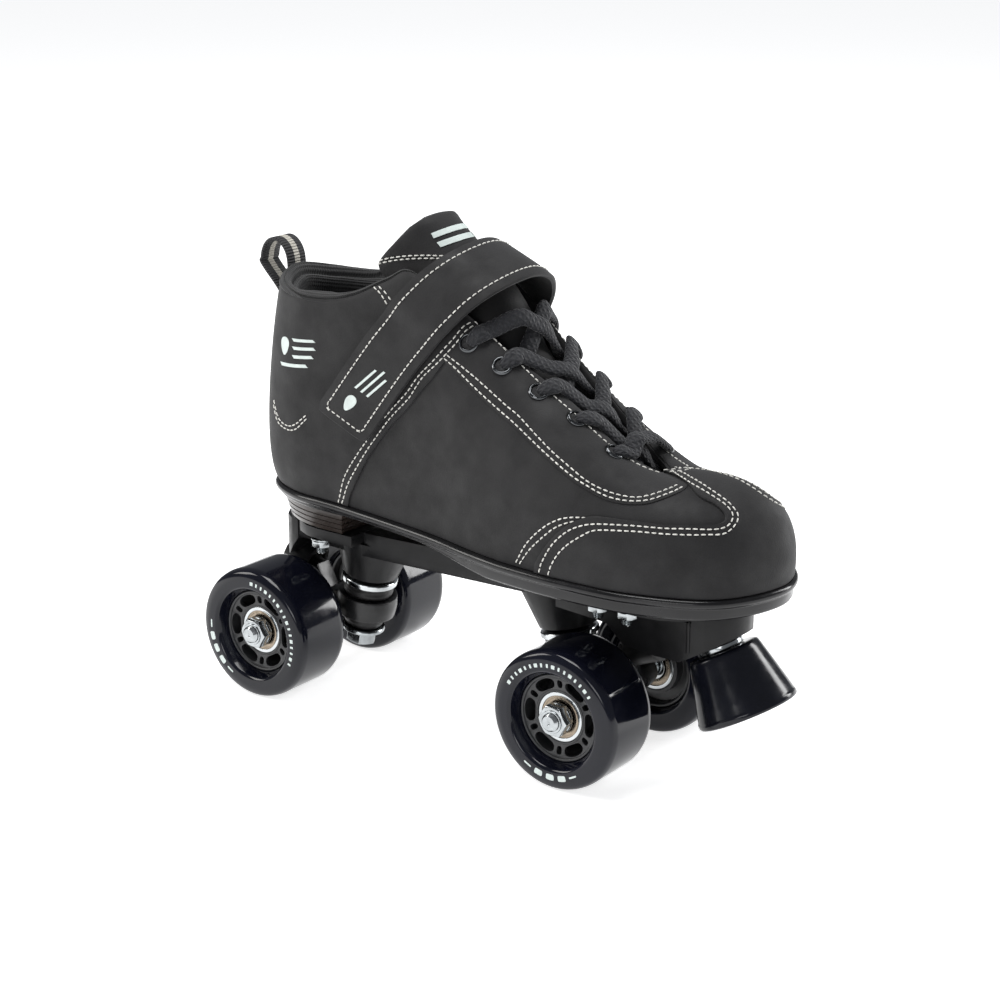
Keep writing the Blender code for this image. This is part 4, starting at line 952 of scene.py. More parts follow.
# %% Sole and heel
SOLE_PROFILE = [(9.0, 0, 0), (2.4, 0, 0), (0.6, 0, .25), (-.5, 0, .9), (-1.0, 0, 1.8), (-1.15, .5, 0),
                (-1.3, 1, -4.4), (-1.4, 1, -3.9), (-1.9, 1, -3.6), (-2.5, 1, -3.0), (-2.8, 1, -2.2), (-2.8, 1, -1.4),
                (-2.5, 1, -.7), (-2.0, 1, -.25), (-1.2, 1, 0), (1.0, 1, .1), (6.0, 1, .1)]
sole_rings = []
for distance, share, extra in SOLE_PROFILE:
    loop = inset(foot_loop[::2], distance * MM)
    low, high = sole_bottom(loop[:, 0]), sole_top(loop[:, 0])
    sole_rings.append(np.column_stack([loop, low + (high - low) * share + extra * MM]))
piece("sole", capped(sole_rings), "boot", [sole_rubber], ["outsole"], angle=50)

heel_outline = inset(foot_loop[::2], 0.5 * MM)
heel_outline = heel_outline[heel_outline[:, 0] < -46 * MM]
split = int(np.argmax(np.linalg.norm(np.diff(heel_outline, axis=0), axis=1))) + 1
heel_outline = np.roll(heel_outline, -split, axis=0)
front = np.linspace(heel_outline[-1], heel_outline[0], 14)[1:-1]
heel_outline = np.vstack([heel_outline, front])
heel_rings = []
HEEL_PROFILE = [(79, -.03), (79.05, -.012), (79.4, 0)]
for groove in (81.6, 84.2, 86.8):
    HEEL_PROFILE += [(groove - .35, 0), (groove - .2, -.014), (groove + .2, -.014), (groove + .35, 0)]
HEEL_PROFILE += [(90, 0), (93, 0)]
for z, extra in HEEL_PROFILE:
    scale = 0.86 + 0.11 * min(1, (z - 79) / 11) + extra
    heel_rings.append([(*(np.array([-0.074, 0]) + (p - [-0.074, 0]) * scale), z * MM) for p in heel_outline])
piece("heel", loft(heel_rings), "boot", [heel_stack], angle=35)
print("sole rings", len(sole_rings), "heel rings", len(heel_rings))

# %% [markdown]
# Wheels. The tyre is cast urethane with round shoulders, a flat face and a sloped lip down to the hub. Every
# wheel is made once, turned round Z with +Z to its outer end, and set at both ends of both axles.

# %% Frames of the wheels and the trucks
WHEEL_R, WHEEL_IN, WHEEL_OUT = 31.0 * MM, 21.2 * MM, 53.4 * MM
RING_CENTRE = Vector((59.5, 0.0, 37.5)) * MM
HALF_TURN = Matrix.Rotation(math.pi, 4, "Z")


def tilted(tilt, origin):
    return Matrix.Translation(origin) @ Matrix.Rotation(tilt, 4, "Y")


KING = tilted(math.radians(-11), RING_CENTRE)
STOP = tilted(math.radians(-28.4), Vector((135.3, 0, 59.0)) * MM)
AXLE = Matrix.Translation((AXLE_X, 0, AXLE_Z)) @ Matrix.Rotation(math.radians(90), 4, "X")
TRUCKS = {"front": Matrix(), "rear": HALF_TURN}


def wheel_places():
    """Name of each wheel with its frame: +Z outwards, at the skate's middle."""
    for end, x in (("front", AXLE_X), ("rear", -AXLE_X)):
        for side, turn in (("outer", 90), ("inner", -90)):
            yield f"{end}_{side}", Matrix.Translation((x, 0, AXLE_Z)) @ Matrix.Rotation(math.radians(turn), 4, "X")


# %% Tyres
high = WHEEL_OUT - WHEEL_IN
HUB_R = 19.3 * MM
TYRE = [(HUB_R + 0.1 * MM, high - 5.4 * MM), (HUB_R + 2.2 * MM, high - 0.7 * MM), (HUB_R + 3.2 * MM, high),
        (WHEEL_R - 4 * MM, high), (WHEEL_R - 1.0 * MM, high - 1.0 * MM), (WHEEL_R, high - 3.8 * MM),
        (WHEEL_R, 4 * MM), (WHEEL_R - 1.0 * MM, 1.1 * MM), (WHEEL_R - 3.6 * MM, 0), (HUB_R + 2.4 * MM, 0),
        (HUB_R + 1.4 * MM, 0.7 * MM), (HUB_R + 0.1 * MM, 4.2 * MM)]
tyre_outline = rounded(TYRE, 1.5 * MM, 6)
tyre_mesh = turned(tyre_outline, 128)
OUT = Matrix.Translation((0, 0, WHEEL_IN))
for wheel, at in wheel_places():
    piece(f"{wheel}_tread", moved(tyre_mesh, at @ OUT), f"{wheel}_wheel", [urethane], [f"{wheel}_tyre"])
print("tyre faces", len(tyre_mesh.polygons))

# %% [markdown]
# The hub is moulded nylon: a rim that the urethane grips, a web dished in towards the bearing, and a seat for
# it. Six large kidney holes and six small ones between them lighten the web. The web is a flat outline with
# holes, filled, given a thickness and dished; the rim and the seat are turned.

# %% Hub web with its holes
def round_outline(radius, steps=96):
    angles = np.linspace(0, 2 * math.pi, steps, endpoint=False)
    return [(radius * math.cos(a), radius * math.sin(a)) for a in angles]


def kidney(inner, outer, middle, half, square=0.75, steps=40):
    """A rounded hole between two radii that spans half an angle each way; a small square makes it boxy."""
    found = []
    for turn in np.linspace(0, 2 * math.pi, steps, endpoint=False):
        out, along = (math.copysign(abs(v) ** square, v) for v in (math.sin(turn), math.cos(turn)))
        radius, angle = (inner + outer) / 2 + (outer - inner) / 2 * out, middle + half * along
        found.append((radius * math.cos(angle), radius * math.sin(angle)))
    return found


def filled(outlines, low, high):
    """A flat plate with holes between two heights."""
    curve = bpy.data.curves.new("flat", "CURVE")
    curve.dimensions, curve.fill_mode = "2D", "BOTH"
    curve.extrude = (high - low) / 2
    for outline in outlines:
        spline = curve.splines.new("POLY")
        spline.points.add(len(outline) - 1)
        spline.use_cyclic_u = True
        for point, (x, y) in zip(spline.points, outline):
            point.co = (x, y, 0, 1)
    mesh = settled(curve)
    mesh.transform(Matrix.Translation((0, 0, (low + high) / 2)))
    return outwards(mesh)


def dished(mesh, slope, start):
    """Every point sinks by the slope times how far it lies inside the start radius."""
    for vertex in mesh.vertices:
        vertex.co.z -= max(0.0, start - math.hypot(vertex.co.x, vertex.co.y)) * slope
    return mesh


outer_face = 46.3 * MM - WHEEL_IN
holes = [kidney(12.6 * MM, 17.7 * MM, math.radians(60 * i), math.radians(19.5)) for i in range(6)]
holes += [kidney(13.2 * MM, 16.9 * MM, math.radians(60 * i + 30), math.radians(5.0)) for i in range(6)]
web = filled([round_outline(18.7 * MM), round_outline(11.2 * MM, 64), *holes], high - 8.0 * MM, high - 6.2 * MM)
web = settled(web, ("BEVEL", {"width": 0.35 * MM, "segments": 3, "limit_method": "ANGLE", "angle_limit": 0.7}))
web = dished(web, 0.16, 18.0 * MM)
rim = turned(rounded([(HUB_R, high - 5.4 * MM), (HUB_R - 1.0 * MM, high - 5.4 * MM),
                      (HUB_R - 1.6 * MM, high - 7.2 * MM), (HUB_R - 1.8 * MM, 6 * MM),
                      (HUB_R - 1.2 * MM, 3.8 * MM), (HUB_R, 3.6 * MM)],
                     0.5 * MM), 96)
seat = turned(rounded([(12.2 * MM, outer_face + 0.3 * MM), (11.15 * MM, outer_face + 0.3 * MM),
                       (11.15 * MM, 18 * MM), (6.8 * MM, 18 * MM), (6.8 * MM, 11 * MM), (11.15 * MM, 11 * MM),
                       (11.15 * MM, 25.0 * MM - WHEEL_IN), (13 * MM, 25.0 * MM - WHEEL_IN), (13 * MM, 9 * MM),
                       (HUB_R - 1.5 * MM, 8 * MM), (HUB_R - 1.5 * MM, 9.6 * MM), (13 * MM, 11 * MM),
                       (12.4 * MM, outer_face - 3 * MM)], 0.45 * MM), 96)
hub_mesh = joined(web, rim, seat)
for wheel, at in wheel_places():
    piece(f"{wheel}_core", moved(hub_mesh, at @ OUT), f"{wheel}_wheel", [hub_plastic], [f"{wheel}_hub"], 35)
print("hub faces", len(hub_mesh.polygons), "holes", len(holes))

# %% [markdown]
# Each wheel runs on two 7 mm wide bearings. A bearing shows a bright outer ring, a pressed shield with a
# rolled step, a narrow dark gap and the bright inner ring that the axle goes through.

# %% Bearings
def bearing(face, way):
    """Rings and shield of one bearing whose visible face is at a height, facing up or down."""
    def at(points, radius, steps=80):
        return turned(rounded([(r * MM, face + way * z * MM) for r, z in points], radius * MM), steps)
    outer = at([(11.0, -.0), (9.4, 0), (9.4, -1.2), (9.2, -6.9), (11, -7)], .25)
    inner = at([(6.3, 0), (4.35, 0), (4.35, -7), (6.3, -7)], .25)
    plate = at([(9.38, -.35), (8.7, -.5), (8.3, -.3), (7.2, -.45), (6.7, -.9), (6.7, -1.3), (9.38, -1.1)], .15)
    return numbered(joined(outer, inner), 0), numbered(plate, 1)


bearing_mesh = joined(*bearing(outer_face, 1), *bearing(25.0 * MM - WHEEL_IN, -1))
for wheel, at in wheel_places():
    piece(f"{wheel}_bearing_pair", moved(bearing_mesh, at @ OUT), f"{wheel}_wheel", [chrome, shield],
          [f"{wheel}_bearings"], 35)
print("bearing faces", len(bearing_mesh.polygons))

# %% [markdown]
# Nuts are hexagons whose corners are turned off at 30 degrees on a lathe. Cutting a hexagonal bar with a turned
# blank gives those curved corner flats exactly. Threads are fine rings on the part of the axle that shows.

# %% Nuts and threaded ends
def hex_nut(across_corners, low, high, bore, flange=0.0):
    """A hexagon nut between two heights, chamfered at its high end, with a bore and perhaps a round flange."""
    bar = turned([(0, low), (across_corners, low), (across_corners, high), (0, high)], 6, closed=False)
    slope = across_corners * 0.16
    blank = disc([(0, low - MM), (across_corners * 1.1, low - MM), (across_corners * 1.1, high - slope * 0.62),
                  (across_corners - slope, high), (0, high)], 0, 96)
    cut = bpy.data.objects.new("blank", blank)
    tap = bpy.data.objects.new("tap", disc([(0, low - 2 * MM), (bore, low - 2 * MM), (bore, high - 0.6 * MM),
                                            (bore + 0.7 * MM, high + MM), (0, high + MM)], 0, 48))
    for tool in (cut, tap):
        bpy.context.scene.collection.objects.link(tool)
    mesh = settled(bar, ("BOOLEAN", {"object": cut, "operation": "INTERSECT", "solver": "EXACT"}),
                   ("BOOLEAN", {"object": tap, "operation": "DIFFERENCE", "solver": "EXACT"}),
                   ("BEVEL", {"width": 0.22 * MM, "segments": 2, "limit_method": "ANGLE", "angle_limit": 0.6}))
    for tool in (cut, tap):
        bpy.data.objects.remove(tool, do_unlink=True)
    if flange:
        mesh = joined(mesh, turned(rounded([(bore, low), (flange, low), (flange, low + 0.5 * MM),
                                            (across_corners * 0.9, low + 1.3 * MM), (bore, low + 1.3 * MM)],
                                           0.2 * MM), 72))
    return mesh


def threads(radius, low, high, pitch=0.8 * MM, dimple=True):
    """A threaded end: rings of thread up to a chamfered tip with a centre mark."""
    points = [(0, low), (radius - .35 * MM, low)]
    for z in np.arange(low + pitch / 2, high - pitch, pitch):
        points += [(radius, z), (radius - 0.38 * MM, z + pitch / 2)]
    points += [(radius - 0.2 * MM, high - 0.7 * MM), (radius - 0.9 * MM, high)]
    points += [(0.9 * MM, high), (0, high - 0.7 * MM)] if dimple else [(0, high)]
    return turned(points, 48, closed=False)


axle_nut = hex_nut(7.3 * MM, 46.9 * MM, 52.5 * MM, 3.9 * MM, flange=6.9 * MM)
collar_ring = turned(rounded([(3.8 * MM, 52.2 * MM), (5.2 * MM, 52.2 * MM), (5.0 * MM, 53.2 * MM),
                              (3.8 * MM, 53.2 * MM)], 0.2 * MM), 48)
nut_mesh = joined(axle_nut, collar_ring)
for wheel, at in wheel_places():
    end, side = wheel.split("_")
    piece(f"{wheel}_locknut", moved(nut_mesh, at), f"{end}_truck", [zinc], [f"{wheel}_axle_nut"], 35)
shaft = disc([(0, -44 * MM), (4 * MM, -44 * MM), (4 * MM, 44 * MM), (0, 44 * MM)], 0.1 * MM, 48)
tip = threads(4.0 * MM, 43 * MM, 55 * MM)
for end, turn in TRUCKS.items():
    far_tip = moved(tip, Matrix.Rotation(math.pi, 4, "X"))
    mesh = moved(outwards(joined(shaft, tip, far_tip)), turn @ AXLE)
    piece(f"{end}_axle_rod", mesh, f"{end}_truck", [zinc], [f"{end}_axle"], 35)
print("nut faces", len(nut_mesh.polygons))

# %% [markdown]
# Each truck hangs on a kingpin: a cupped washer, a barrel cushion, the hanger's ring, a cone cushion, a washer
# and the nut. All are turned round the kingpin, which leans back 11 degrees. The cushions are soft and flatten
# against their washers when the hanger leans; here they keep their turned shape.

# %% Kingpin stack
top_face, foot_face = 12.6 * MM, -11.8 * MM
low_seat = foot_face - 2.0 * MM - GAP
hung_below = Matrix.Translation((0, 0, low_seat)) @ Matrix.Rotation(math.pi, 4, "X")
STACK = {
    "top_washer": (turned(rounded([(4.3 * MM, top_face + 2.4 * MM), (10.4 * MM, top_face + 2.4 * MM),
                                   (13.2 * MM, top_face + 1.2 * MM), (13.2 * MM, top_face - 1.4 * MM),
                                   (12.3 * MM, top_face - 1.4 * MM), (12.1 * MM, top_face + .1 * MM),
                                   (4.3 * MM, top_face + .1 * MM)], 0.7 * MM, 6), 96), chrome, "zinc_steel"),
    "upper_cushion": (turned(rounded([(6.6 * MM, top_face - GAP), (11.0 * MM, top_face - GAP),
                                      (11.9 * MM, 10.4 * MM), (11.3 * MM, 8.9 * MM),
                                      (11.9 * MM, 7.2 * MM), (11.5 * MM, 5.3 * MM),
                                      (6.6 * MM, 5.3 * MM)], 1.0 * MM, 6), 80), bushing, "cushion"),
    "lower_cushion": (turned(rounded([(6.6 * MM, -5.3 * MM), (10.2 * MM, -5.3 * MM), (10.1 * MM, -8 * MM),
                                      (8.5 * MM, foot_face + GAP), (6.6 * MM, foot_face + GAP)], 1.1 * MM, 6), 80),
                      bushing, "cushion"),
    "bottom_washer": (turned(rounded([(4.3 * MM, foot_face), (9.9 * MM, foot_face),
                                      (10.4 * MM, foot_face - 0.7 * MM), (10.4 * MM, foot_face - 2 * MM),
                                      (4.3 * MM, foot_face - 2 * MM)],
                                     0.35 * MM), 80), zinc, "zinc_steel"),
    "kingpin_nut": (moved(hex_nut(7.5 * MM, 0, 6.4 * MM, 3.9 * MM), hung_below), zinc, "zinc_steel"),
}
pin = joined(disc([(0, -18 * MM), (3.9 * MM, -18 * MM), (3.9 * MM, 33 * MM), (0, 33 * MM)], 0.2 * MM, 40),
             moved(threads(3.95 * MM, -2 * MM, 8.1 * MM), hung_below))
SEATS = {"upper_cushion": top_face, "lower_cushion": foot_face}
for end, turn in TRUCKS.items():
    for name, (mesh, finish, slot) in STACK.items():
        made = piece(f"{end}_{name}_turned", moved(mesh, turn @ KING), "boot", [finish],
                     [f"{end}_{name}"], 35)
        if name in SEATS:
            at = Matrix.Translation(MIDDLE) @ turn @ KING
            seat, axis = at @ Vector((0, 0, SEATS[name])), at.to_3x3() @ Vector((0, 0, 1))
            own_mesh(made)
    piece(f"{end}_kingpin_rod", moved(pin, turn @ KING), "boot", [zinc], [f"{end}_kingpin"], 35)
print("stack", {name: len(mesh.polygons) for name, (mesh, _, _) in STACK.items()})

# %% [markdown]
# The plate and the hangers are castings, with the shapes the model gives them. A casting has no sharp edges, so
# each is a copy of the model's solid with its triangles joined into faces and every edge rounded. The round
# parts that show, the hanger's ring and the axle's housing, are turned again over the copy.

# %% Plate and hangers
plate_mesh = softened("plate", 0.9 * MM, 3)
piece("plate_moulding", plate_mesh, "boot", [nylon], ["plate"], 35)
ring = turned(rounded([(6.7 * MM, 5.0 * MM), (14.0 * MM, 5.0 * MM), (14.5 * MM, 1.0 * MM), (14.5 * MM, -1.0 * MM),
                       (14.0 * MM, -5.0 * MM), (6.7 * MM, -5.0 * MM)], 0.7 * MM, 6), 96)
housing = turned(rounded([(4.35 * MM, 19.6 * MM), (6.4 * MM, 19.6 * MM), (8.05 * MM, 8 * MM), (8.05 * MM, -8 * MM),
                          (6.4 * MM, -19.6 * MM), (4.35 * MM, -19.6 * MM)], 0.8 * MM, 5), 80)
for end, turn in TRUCKS.items():
    casting = joined(softened(f"{end}_hanger", 1.0 * MM, 3), moved(ring, turn @ KING), moved(housing, turn @ AXLE))
    piece(f"{end}_hanger_casting", casting, f"{end}_truck", [black_casting], [f"{end}_hanger"], 35)
    cup = softened(f"{end}_pivot_cup", 0.3 * MM)
    piece(f"{end}_pivot_socket", cup, "boot", [bushing], [f"{end}_pivot_cup"], 35)
print("plate faces", len(plate_mesh.polygons))

# %% [markdown]
# The plate's side under the toe carries a raised outline, as moulded panels often do, and ribs between its two
# decks. Only the outline is made here: on each side, a thin bar that follows a line on the side face.

# %% Raised outline on the plate's side
def bar_along(places, half, height, normal):
    """A low bar with a rounded top along a line of places on a flat face."""
    rings, normal = [], Vector(normal)
    line = [Vector(p) for p in places]
    for i, point in enumerate(line):
        ahead = (line[min(i + 1, len(line) - 1)] - line[max(i - 1, 0)]).normalized()
        across = ahead.cross(normal).normalized() * half
        rings.append([point - across - normal * 0.6 * MM, point + across - normal * 0.6 * MM,
                      point + across + normal * height * 0.55, point + across * 0.6 + normal * height,
                      point - across * 0.6 + normal * height, point - across + normal * height * 0.55])
    return loft(rings)


outline = [(74, 75.4), (124.5, 75.4), (128.6, 74.6), (129.0, 71), (129.0, 61.5)]
outline = [tuple(p) for p in smooth(np.array(outline) * MM, 6)]
bars = []
for side in (-1, 1):
    loop = [(x, side * 18.0 * MM, z) for x, z in outline]
    bars.append(bar_along(loop, 0.8 * MM, 0.55 * MM, (0, side, 0)))
piece("plate_outline", joined(*bars), "boot", [nylon], angle=50)

# %% [markdown]
# The toe stop is a rubber plug on a threaded stem. Its side flares to a thin lip round the worn face, and a
# steel washer sits between it and the plate's nose.

# %% Toe stop
STOP_PROFILE = [(0, 0), (13.8 * MM, 0), (15.2 * MM, -0.6 * MM), (15.9 * MM, -2.4 * MM), (17.6 * MM, -9 * MM),
                (20.6 * MM, -21 * MM), (21.6 * MM, -25.4 * MM), (22.0 * MM, -26.2 * MM), (22.0 * MM, -27.8 * MM),
                (21.3 * MM, -28.6 * MM), (18.5 * MM, -28.6 * MM), (0, -28.6 * MM)]
stop_mesh = moved(disc(STOP_PROFILE, 0.9 * MM, 128), STOP)
piece("toe_stop_plug", stop_mesh, "boot", [stop_rubber], ["toe_stop"], 35)
STOP_WASHER = [(4.9 * MM, 0.3 * MM), (9.5 * MM, 0.3 * MM), (9.5 * MM, 2.5 * MM), (4.9 * MM, 2.5 * MM)]
stop_washer = turned(rounded(STOP_WASHER, 0.4 * MM), 72)
piece("toe_stop_collar", moved(stop_washer, STOP), "boot", [zinc], ["toe_stop_washer"], 35)
stem = threads(4.0 * MM, -8 * MM, 14 * MM, 1.0 * MM)
piece("toe_stop_stem", moved(stem, STOP), "boot", [zinc], ["toe_stop_bolt"], 35)

# %% Mounting bolts
BOLTS = [(node, centre_of(node) - MIDDLE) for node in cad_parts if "_bolt_" in node and "stop" not in node]
for node, middle in BOLTS:
    top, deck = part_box(node)[1].z, (81.7 if middle.x > 0 else 78.7) * MM
    face = deck - 5.3 * MM
    head = disc([(0, top), (4.2 * MM, top), (2.5 * MM, top - 2.5 * MM), (0, top - 2.5 * MM)][::-1], 0.2 * MM, 32)
    bolt_shaft = threads(2.45 * MM, 0, top - face + 5.5 * MM, 0.7 * MM)
    flip = Matrix.Rotation(math.pi, 4, "X")
    nut = moved(hex_nut(4.6 * MM, 0, 4.0 * MM, 2.4 * MM, flange=4.9 * MM), Matrix.Translation((0, 0, face)) @ flip)
    mesh = joined(head, moved(bolt_shaft, Matrix.Translation((0, 0, top - 2 * MM)) @ flip), nut)
    place = Matrix.Translation((middle.x, middle.y, 0))
    piece(f"{node}_turned", moved(mesh, place), "boot", [zinc], [node], 35)
print("bolts", [node for node, _ in BOLTS])

# %% [markdown]
# A pull loop of ribbed webbing is sewn to the back of the collar. It is a ribbon: a thin rounded cross-section
# swept round the loop, with the stripe on the middle of its outer face.

# %% Pull loop
path = [(-104.0, 163), (-103.6, 172), (-103.2, 180)]
path += [(-106 + 9.0 * math.cos(a), 195 + 11.5 * math.sin(a)) for a in np.radians(np.linspace(190, 6, 12))]
path += [(-96.8, 191), (-96.6, 184)]
path = smooth(np.array(path) * MM, 8)
loop_rings = []
for i, (x, z) in enumerate(path):
    ahead = path[min(i + 1, len(path) - 1)] - path[max(i - 1, 0)]
    normal = np.array([-ahead[1], 0, ahead[0]]) / np.linalg.norm(ahead)
    # the striped face stays on the outside of the loop
    normal = normal if i < 3 or normal @ (x + 0.106, 0, z - 0.195) > 0 or z < 0.184 else -normal
    if i < 30 and normal[0] > 0 and z < 0.186:
        normal = -normal
    at = np.array([x, 0, z])
    across = [(0, -1.6), (5.6, -1.6), (6, -1.2), (6, -.4), (5.6, 0),
              (0, 0), (-5.6, 0), (-6, -.4), (-6, -1.2), (-5.6, -1.6)]
    loop_rings.append([at + (0, w * MM, 0) + normal * d * MM for w, d in across])
piece("pull_loop_webbing", loft(loop_rings), "boot", [webbing], ["pull_loop"], 50)

# %% [markdown]
# The hook-and-loop patch is a thin pad of looped pile. It stands for the model's own patch, with softer edges.

# %% Hook-and-loop patch
patch_mesh = softened("strap_patch", 0.3 * MM)
piece("loop_pile_patch", patch_mesh, "boot", [looped_pile], ["strap_patch"])

# %% [markdown]
# Eyelets are short tubes of nickel-plated brass, rolled over at the outside into a ring that grips the leather.
# They sit in the leather facing, whose two halves are one piece. A dark disc of painted shade closes each hole from
# below.

# %% Eyelets and the eyestay
RING = [(2.95, -3.2), (2.95, 1.2), (3.3, 1.75), (3.8, 1.75), (4.45, 1.1), (4.45, 0.4), (3.5, 0.4), (3.25, -3.2)]
ring_profile = rounded([(radius * MM, height * MM) for radius, height in RING], 0.5 * MM, 5)
eyelet_ring = turned(ring_profile, 56)
for frame_at, name in zip(eyelet_frames, [f"{s}_{i}" for s in ("outer", "inner") for i in range(1, 6)]):
    piece(f"eyelet_{name}", moved(eyelet_ring, frame_at), "boot", [dark_nickel])
piece("eyestay_leather", joined(*eyestay_meshes), "boot", [nubuck], ["eyestay"])
# painted shade: each dark disc stands for the shade down inside an eyelet's hole
DARK_DISC = [(0, .5 * MM), (3.0 * MM, .5 * MM), (3.0 * MM, .9 * MM), (0, .9 * MM)]
dark_holes = joined(*[moved(disc(DARK_DISC, 0.1 * MM, 40), frame_at) for frame_at in eyelet_frames])
piece("eyelet_shadow", dark_holes, "boot", [looped_pile])
print("eyelet faces", len(eyelet_ring.polygons))

# %% [markdown]
# One flat-oval braided lace runs the whole way: it goes down through an eyelet, under the leather, across the
# tongue and up over the other flap. Its route has the model's stops, laid closer to the leather because this
# lace is flatter, each with the direction that its flat side faces. An oval is swept along a smooth curve
# through them.

# %% The lace's route
SIDES = (eyelet_frames[:5], eyelet_frames[5:])
rim_line = smooth(TOP_EDGE, 8)
LACE_W, LACE_T = 8.0 * MM, 3.7 * MM


def lace_stops(frames):
    stops = []
    for at in frames:
        eyelet, normal = at.translation, (at.to_3x3() @ Vector((0, 0, 1))).normalized()
        side = math.copysign(1, eyelet.y)
        nearest = min(rim_line, key=lambda p: (p[0] - eyelet.x - 4 * MM) ** 2)
        edge = Vector((nearest[0], side * nearest[1], nearest[2] - inner_drop(nearest[0]) * (side > 0)))
        inwards = (edge - eyelet).normalized()
        middle, facing_up = surface_under(eyelet.lerp(edge, 0.6), -normal)
        over, under = 2.7 * MM, 5.0 * MM
        stops.append({
            "over_edge": (edge + facing_up * (over - 0.2 * MM) + inwards * 0.6 * MM, facing_up, 1.0),
            "over": (middle + facing_up * over, facing_up, 1.0),
            "top": (eyelet + normal * (over - 0.1 * MM) + inwards * 3.6 * MM,
                    (normal - inwards * 0.3).normalized(), 0.86),
            "hole": (eyelet + normal * 0.9 * MM + inwards * 0.9 * MM, (normal * 0.4 - inwards).normalized(), 0.62),
            "below": (eyelet - normal * (under - 2.0 * MM) + inwards * 0.3 * MM, -inwards, 0.58),
            "under": (eyelet - normal * under + inwards * 3.4 * MM, -normal, 0.9),
            "under_edge": (edge - normal * under + inwards * 1.0 * MM, -normal, 1.0)})
    return stops


DOWN = ("over_edge", "over", "top", "hole", "below", "under", "under_edge")


def crossing(start, end, height):
    found = []
    for share in (0.3, 0.5, 0.7):
        point = start.lerp(end, share)
        crown, ahead = np.interp([point.x, point.x + MM], TONGUE[::-1, 0], TONGUE[::-1, 1])
        crown, ahead = crown - inner_drop(point.x) / 2, ahead - inner_drop(point.x) / 2
        off = Vector((crown - ahead, 0, MM)).normalized()
        foot = Vector((point.x, point.y, crown))
        found.append((foot + off * (2.2 * MM + height * (1 if share == 0.5 else 0.75)), off, 1.0))
    return found


def lace_route():
    outer, inner = lace_stops(SIDES[0]), lace_stops(SIDES[1])
    route = [outer[4][name] for name in DOWN[-2::-1]]
    for step, k in enumerate((3, 2, 1, 0)):
        stop = (inner, outer)[step % 2][k]
        route += crossing(route[-1][0], stop["under_edge"][0], (4.0 if step % 2 == 0 else 0.6) * MM)
        route += [stop[name] for name in DOWN[:0:-1]]
        if k:
            route.append(stop["over_edge"])
    start, end = outer[0]["top"][0], inner[0]["top"][0]
    route += [(start.lerp(end, share) + Vector((0, 0, 4.6 * MM)), Vector((0.3, 0, 1)), 1.0)
              for share in (.3, .5, .7)]
    route += [inner[0][name] for name in DOWN[2:]]
    for step, k in enumerate((1, 2, 3, 4)):
        stop = (outer, inner)[step % 2][k]
        route += crossing(route[-1][0], stop["over_edge"][0], (4.0 if step % 2 == 0 else 0.6) * MM)
        route += [stop[name] for name in (DOWN if k < 4 else DOWN[:-1])]
    return route


route = lace_route()
facing = [route[0][1]]
for _, normal, _ in route[1:]:
    facing.append(normal if normal.dot(facing[-1]) >= 0 else -normal)
line = smooth(np.array([p for p, _, _ in route]), 9)
turn = smooth(np.array(facing), 9)
wide = np.clip(smooth(np.array([[w] for _, _, w in route]), 9)[:, 0], 0.55, 1.02)
angles = np.linspace(0, 2 * math.pi, 18, endpoint=False)
lace_rings = []
for i, (point, up, share) in enumerate(zip(line, turn, wide)):
    ahead = line[min(i + 1, len(line) - 1)] - line[max(i - 1, 0)]
    ahead /= np.linalg.norm(ahead)
    up = up - ahead * (up @ ahead)
    up /= np.linalg.norm(up)
    across = np.cross(ahead, up)
    oval = [across * math.copysign(abs(math.cos(a)) ** 0.85, math.cos(a)) * LACE_W / 2 * share
            + up * math.copysign(abs(math.sin(a)) ** 0.85, math.sin(a)) * LACE_T / 2 * (share + 1) / 2
            for a in angles]
    lace_rings.append([point + o for o in oval])
lace_mesh = loft(lace_rings)
piece("braided_lace", lace_mesh, "boot", [lace_braid], ["lace"], angle=80)
print("lace length", round(float(np.linalg.norm(np.diff(line, axis=0), axis=1).sum()), 3))

# %% [markdown]
# Stitches are the detail that makes this upper. Each row is a line of places on the surface that also carries
# the direction out of the leather. A Geometry Nodes tree turns the lines into curves, sets a point every stitch
# length, and puts one short thread there, turned along the seam and standing out of the leather. The same tree
# sews every panel: only the pitch, the length and the thickness are inputs.

# %% The sewing tree
def short_thread():
    """One stitch: a rounded bar of a few dozen faces, 1 long and 1 thick, that dips at its ends."""
    rings = []
    angles = np.linspace(0, 2 * math.pi, 6, endpoint=False)
    for x, r, z in ((-.5, .12, -.42), (-.42, .4, -.16), (-.2, .5, .06),
                    (.2, .5, .06), (.42, .4, -.16), (.5, .12, -.42)):
        rings.append([(x, r * math.cos(a), z + r * math.sin(a)) for a in angles])
    return loft(rings)


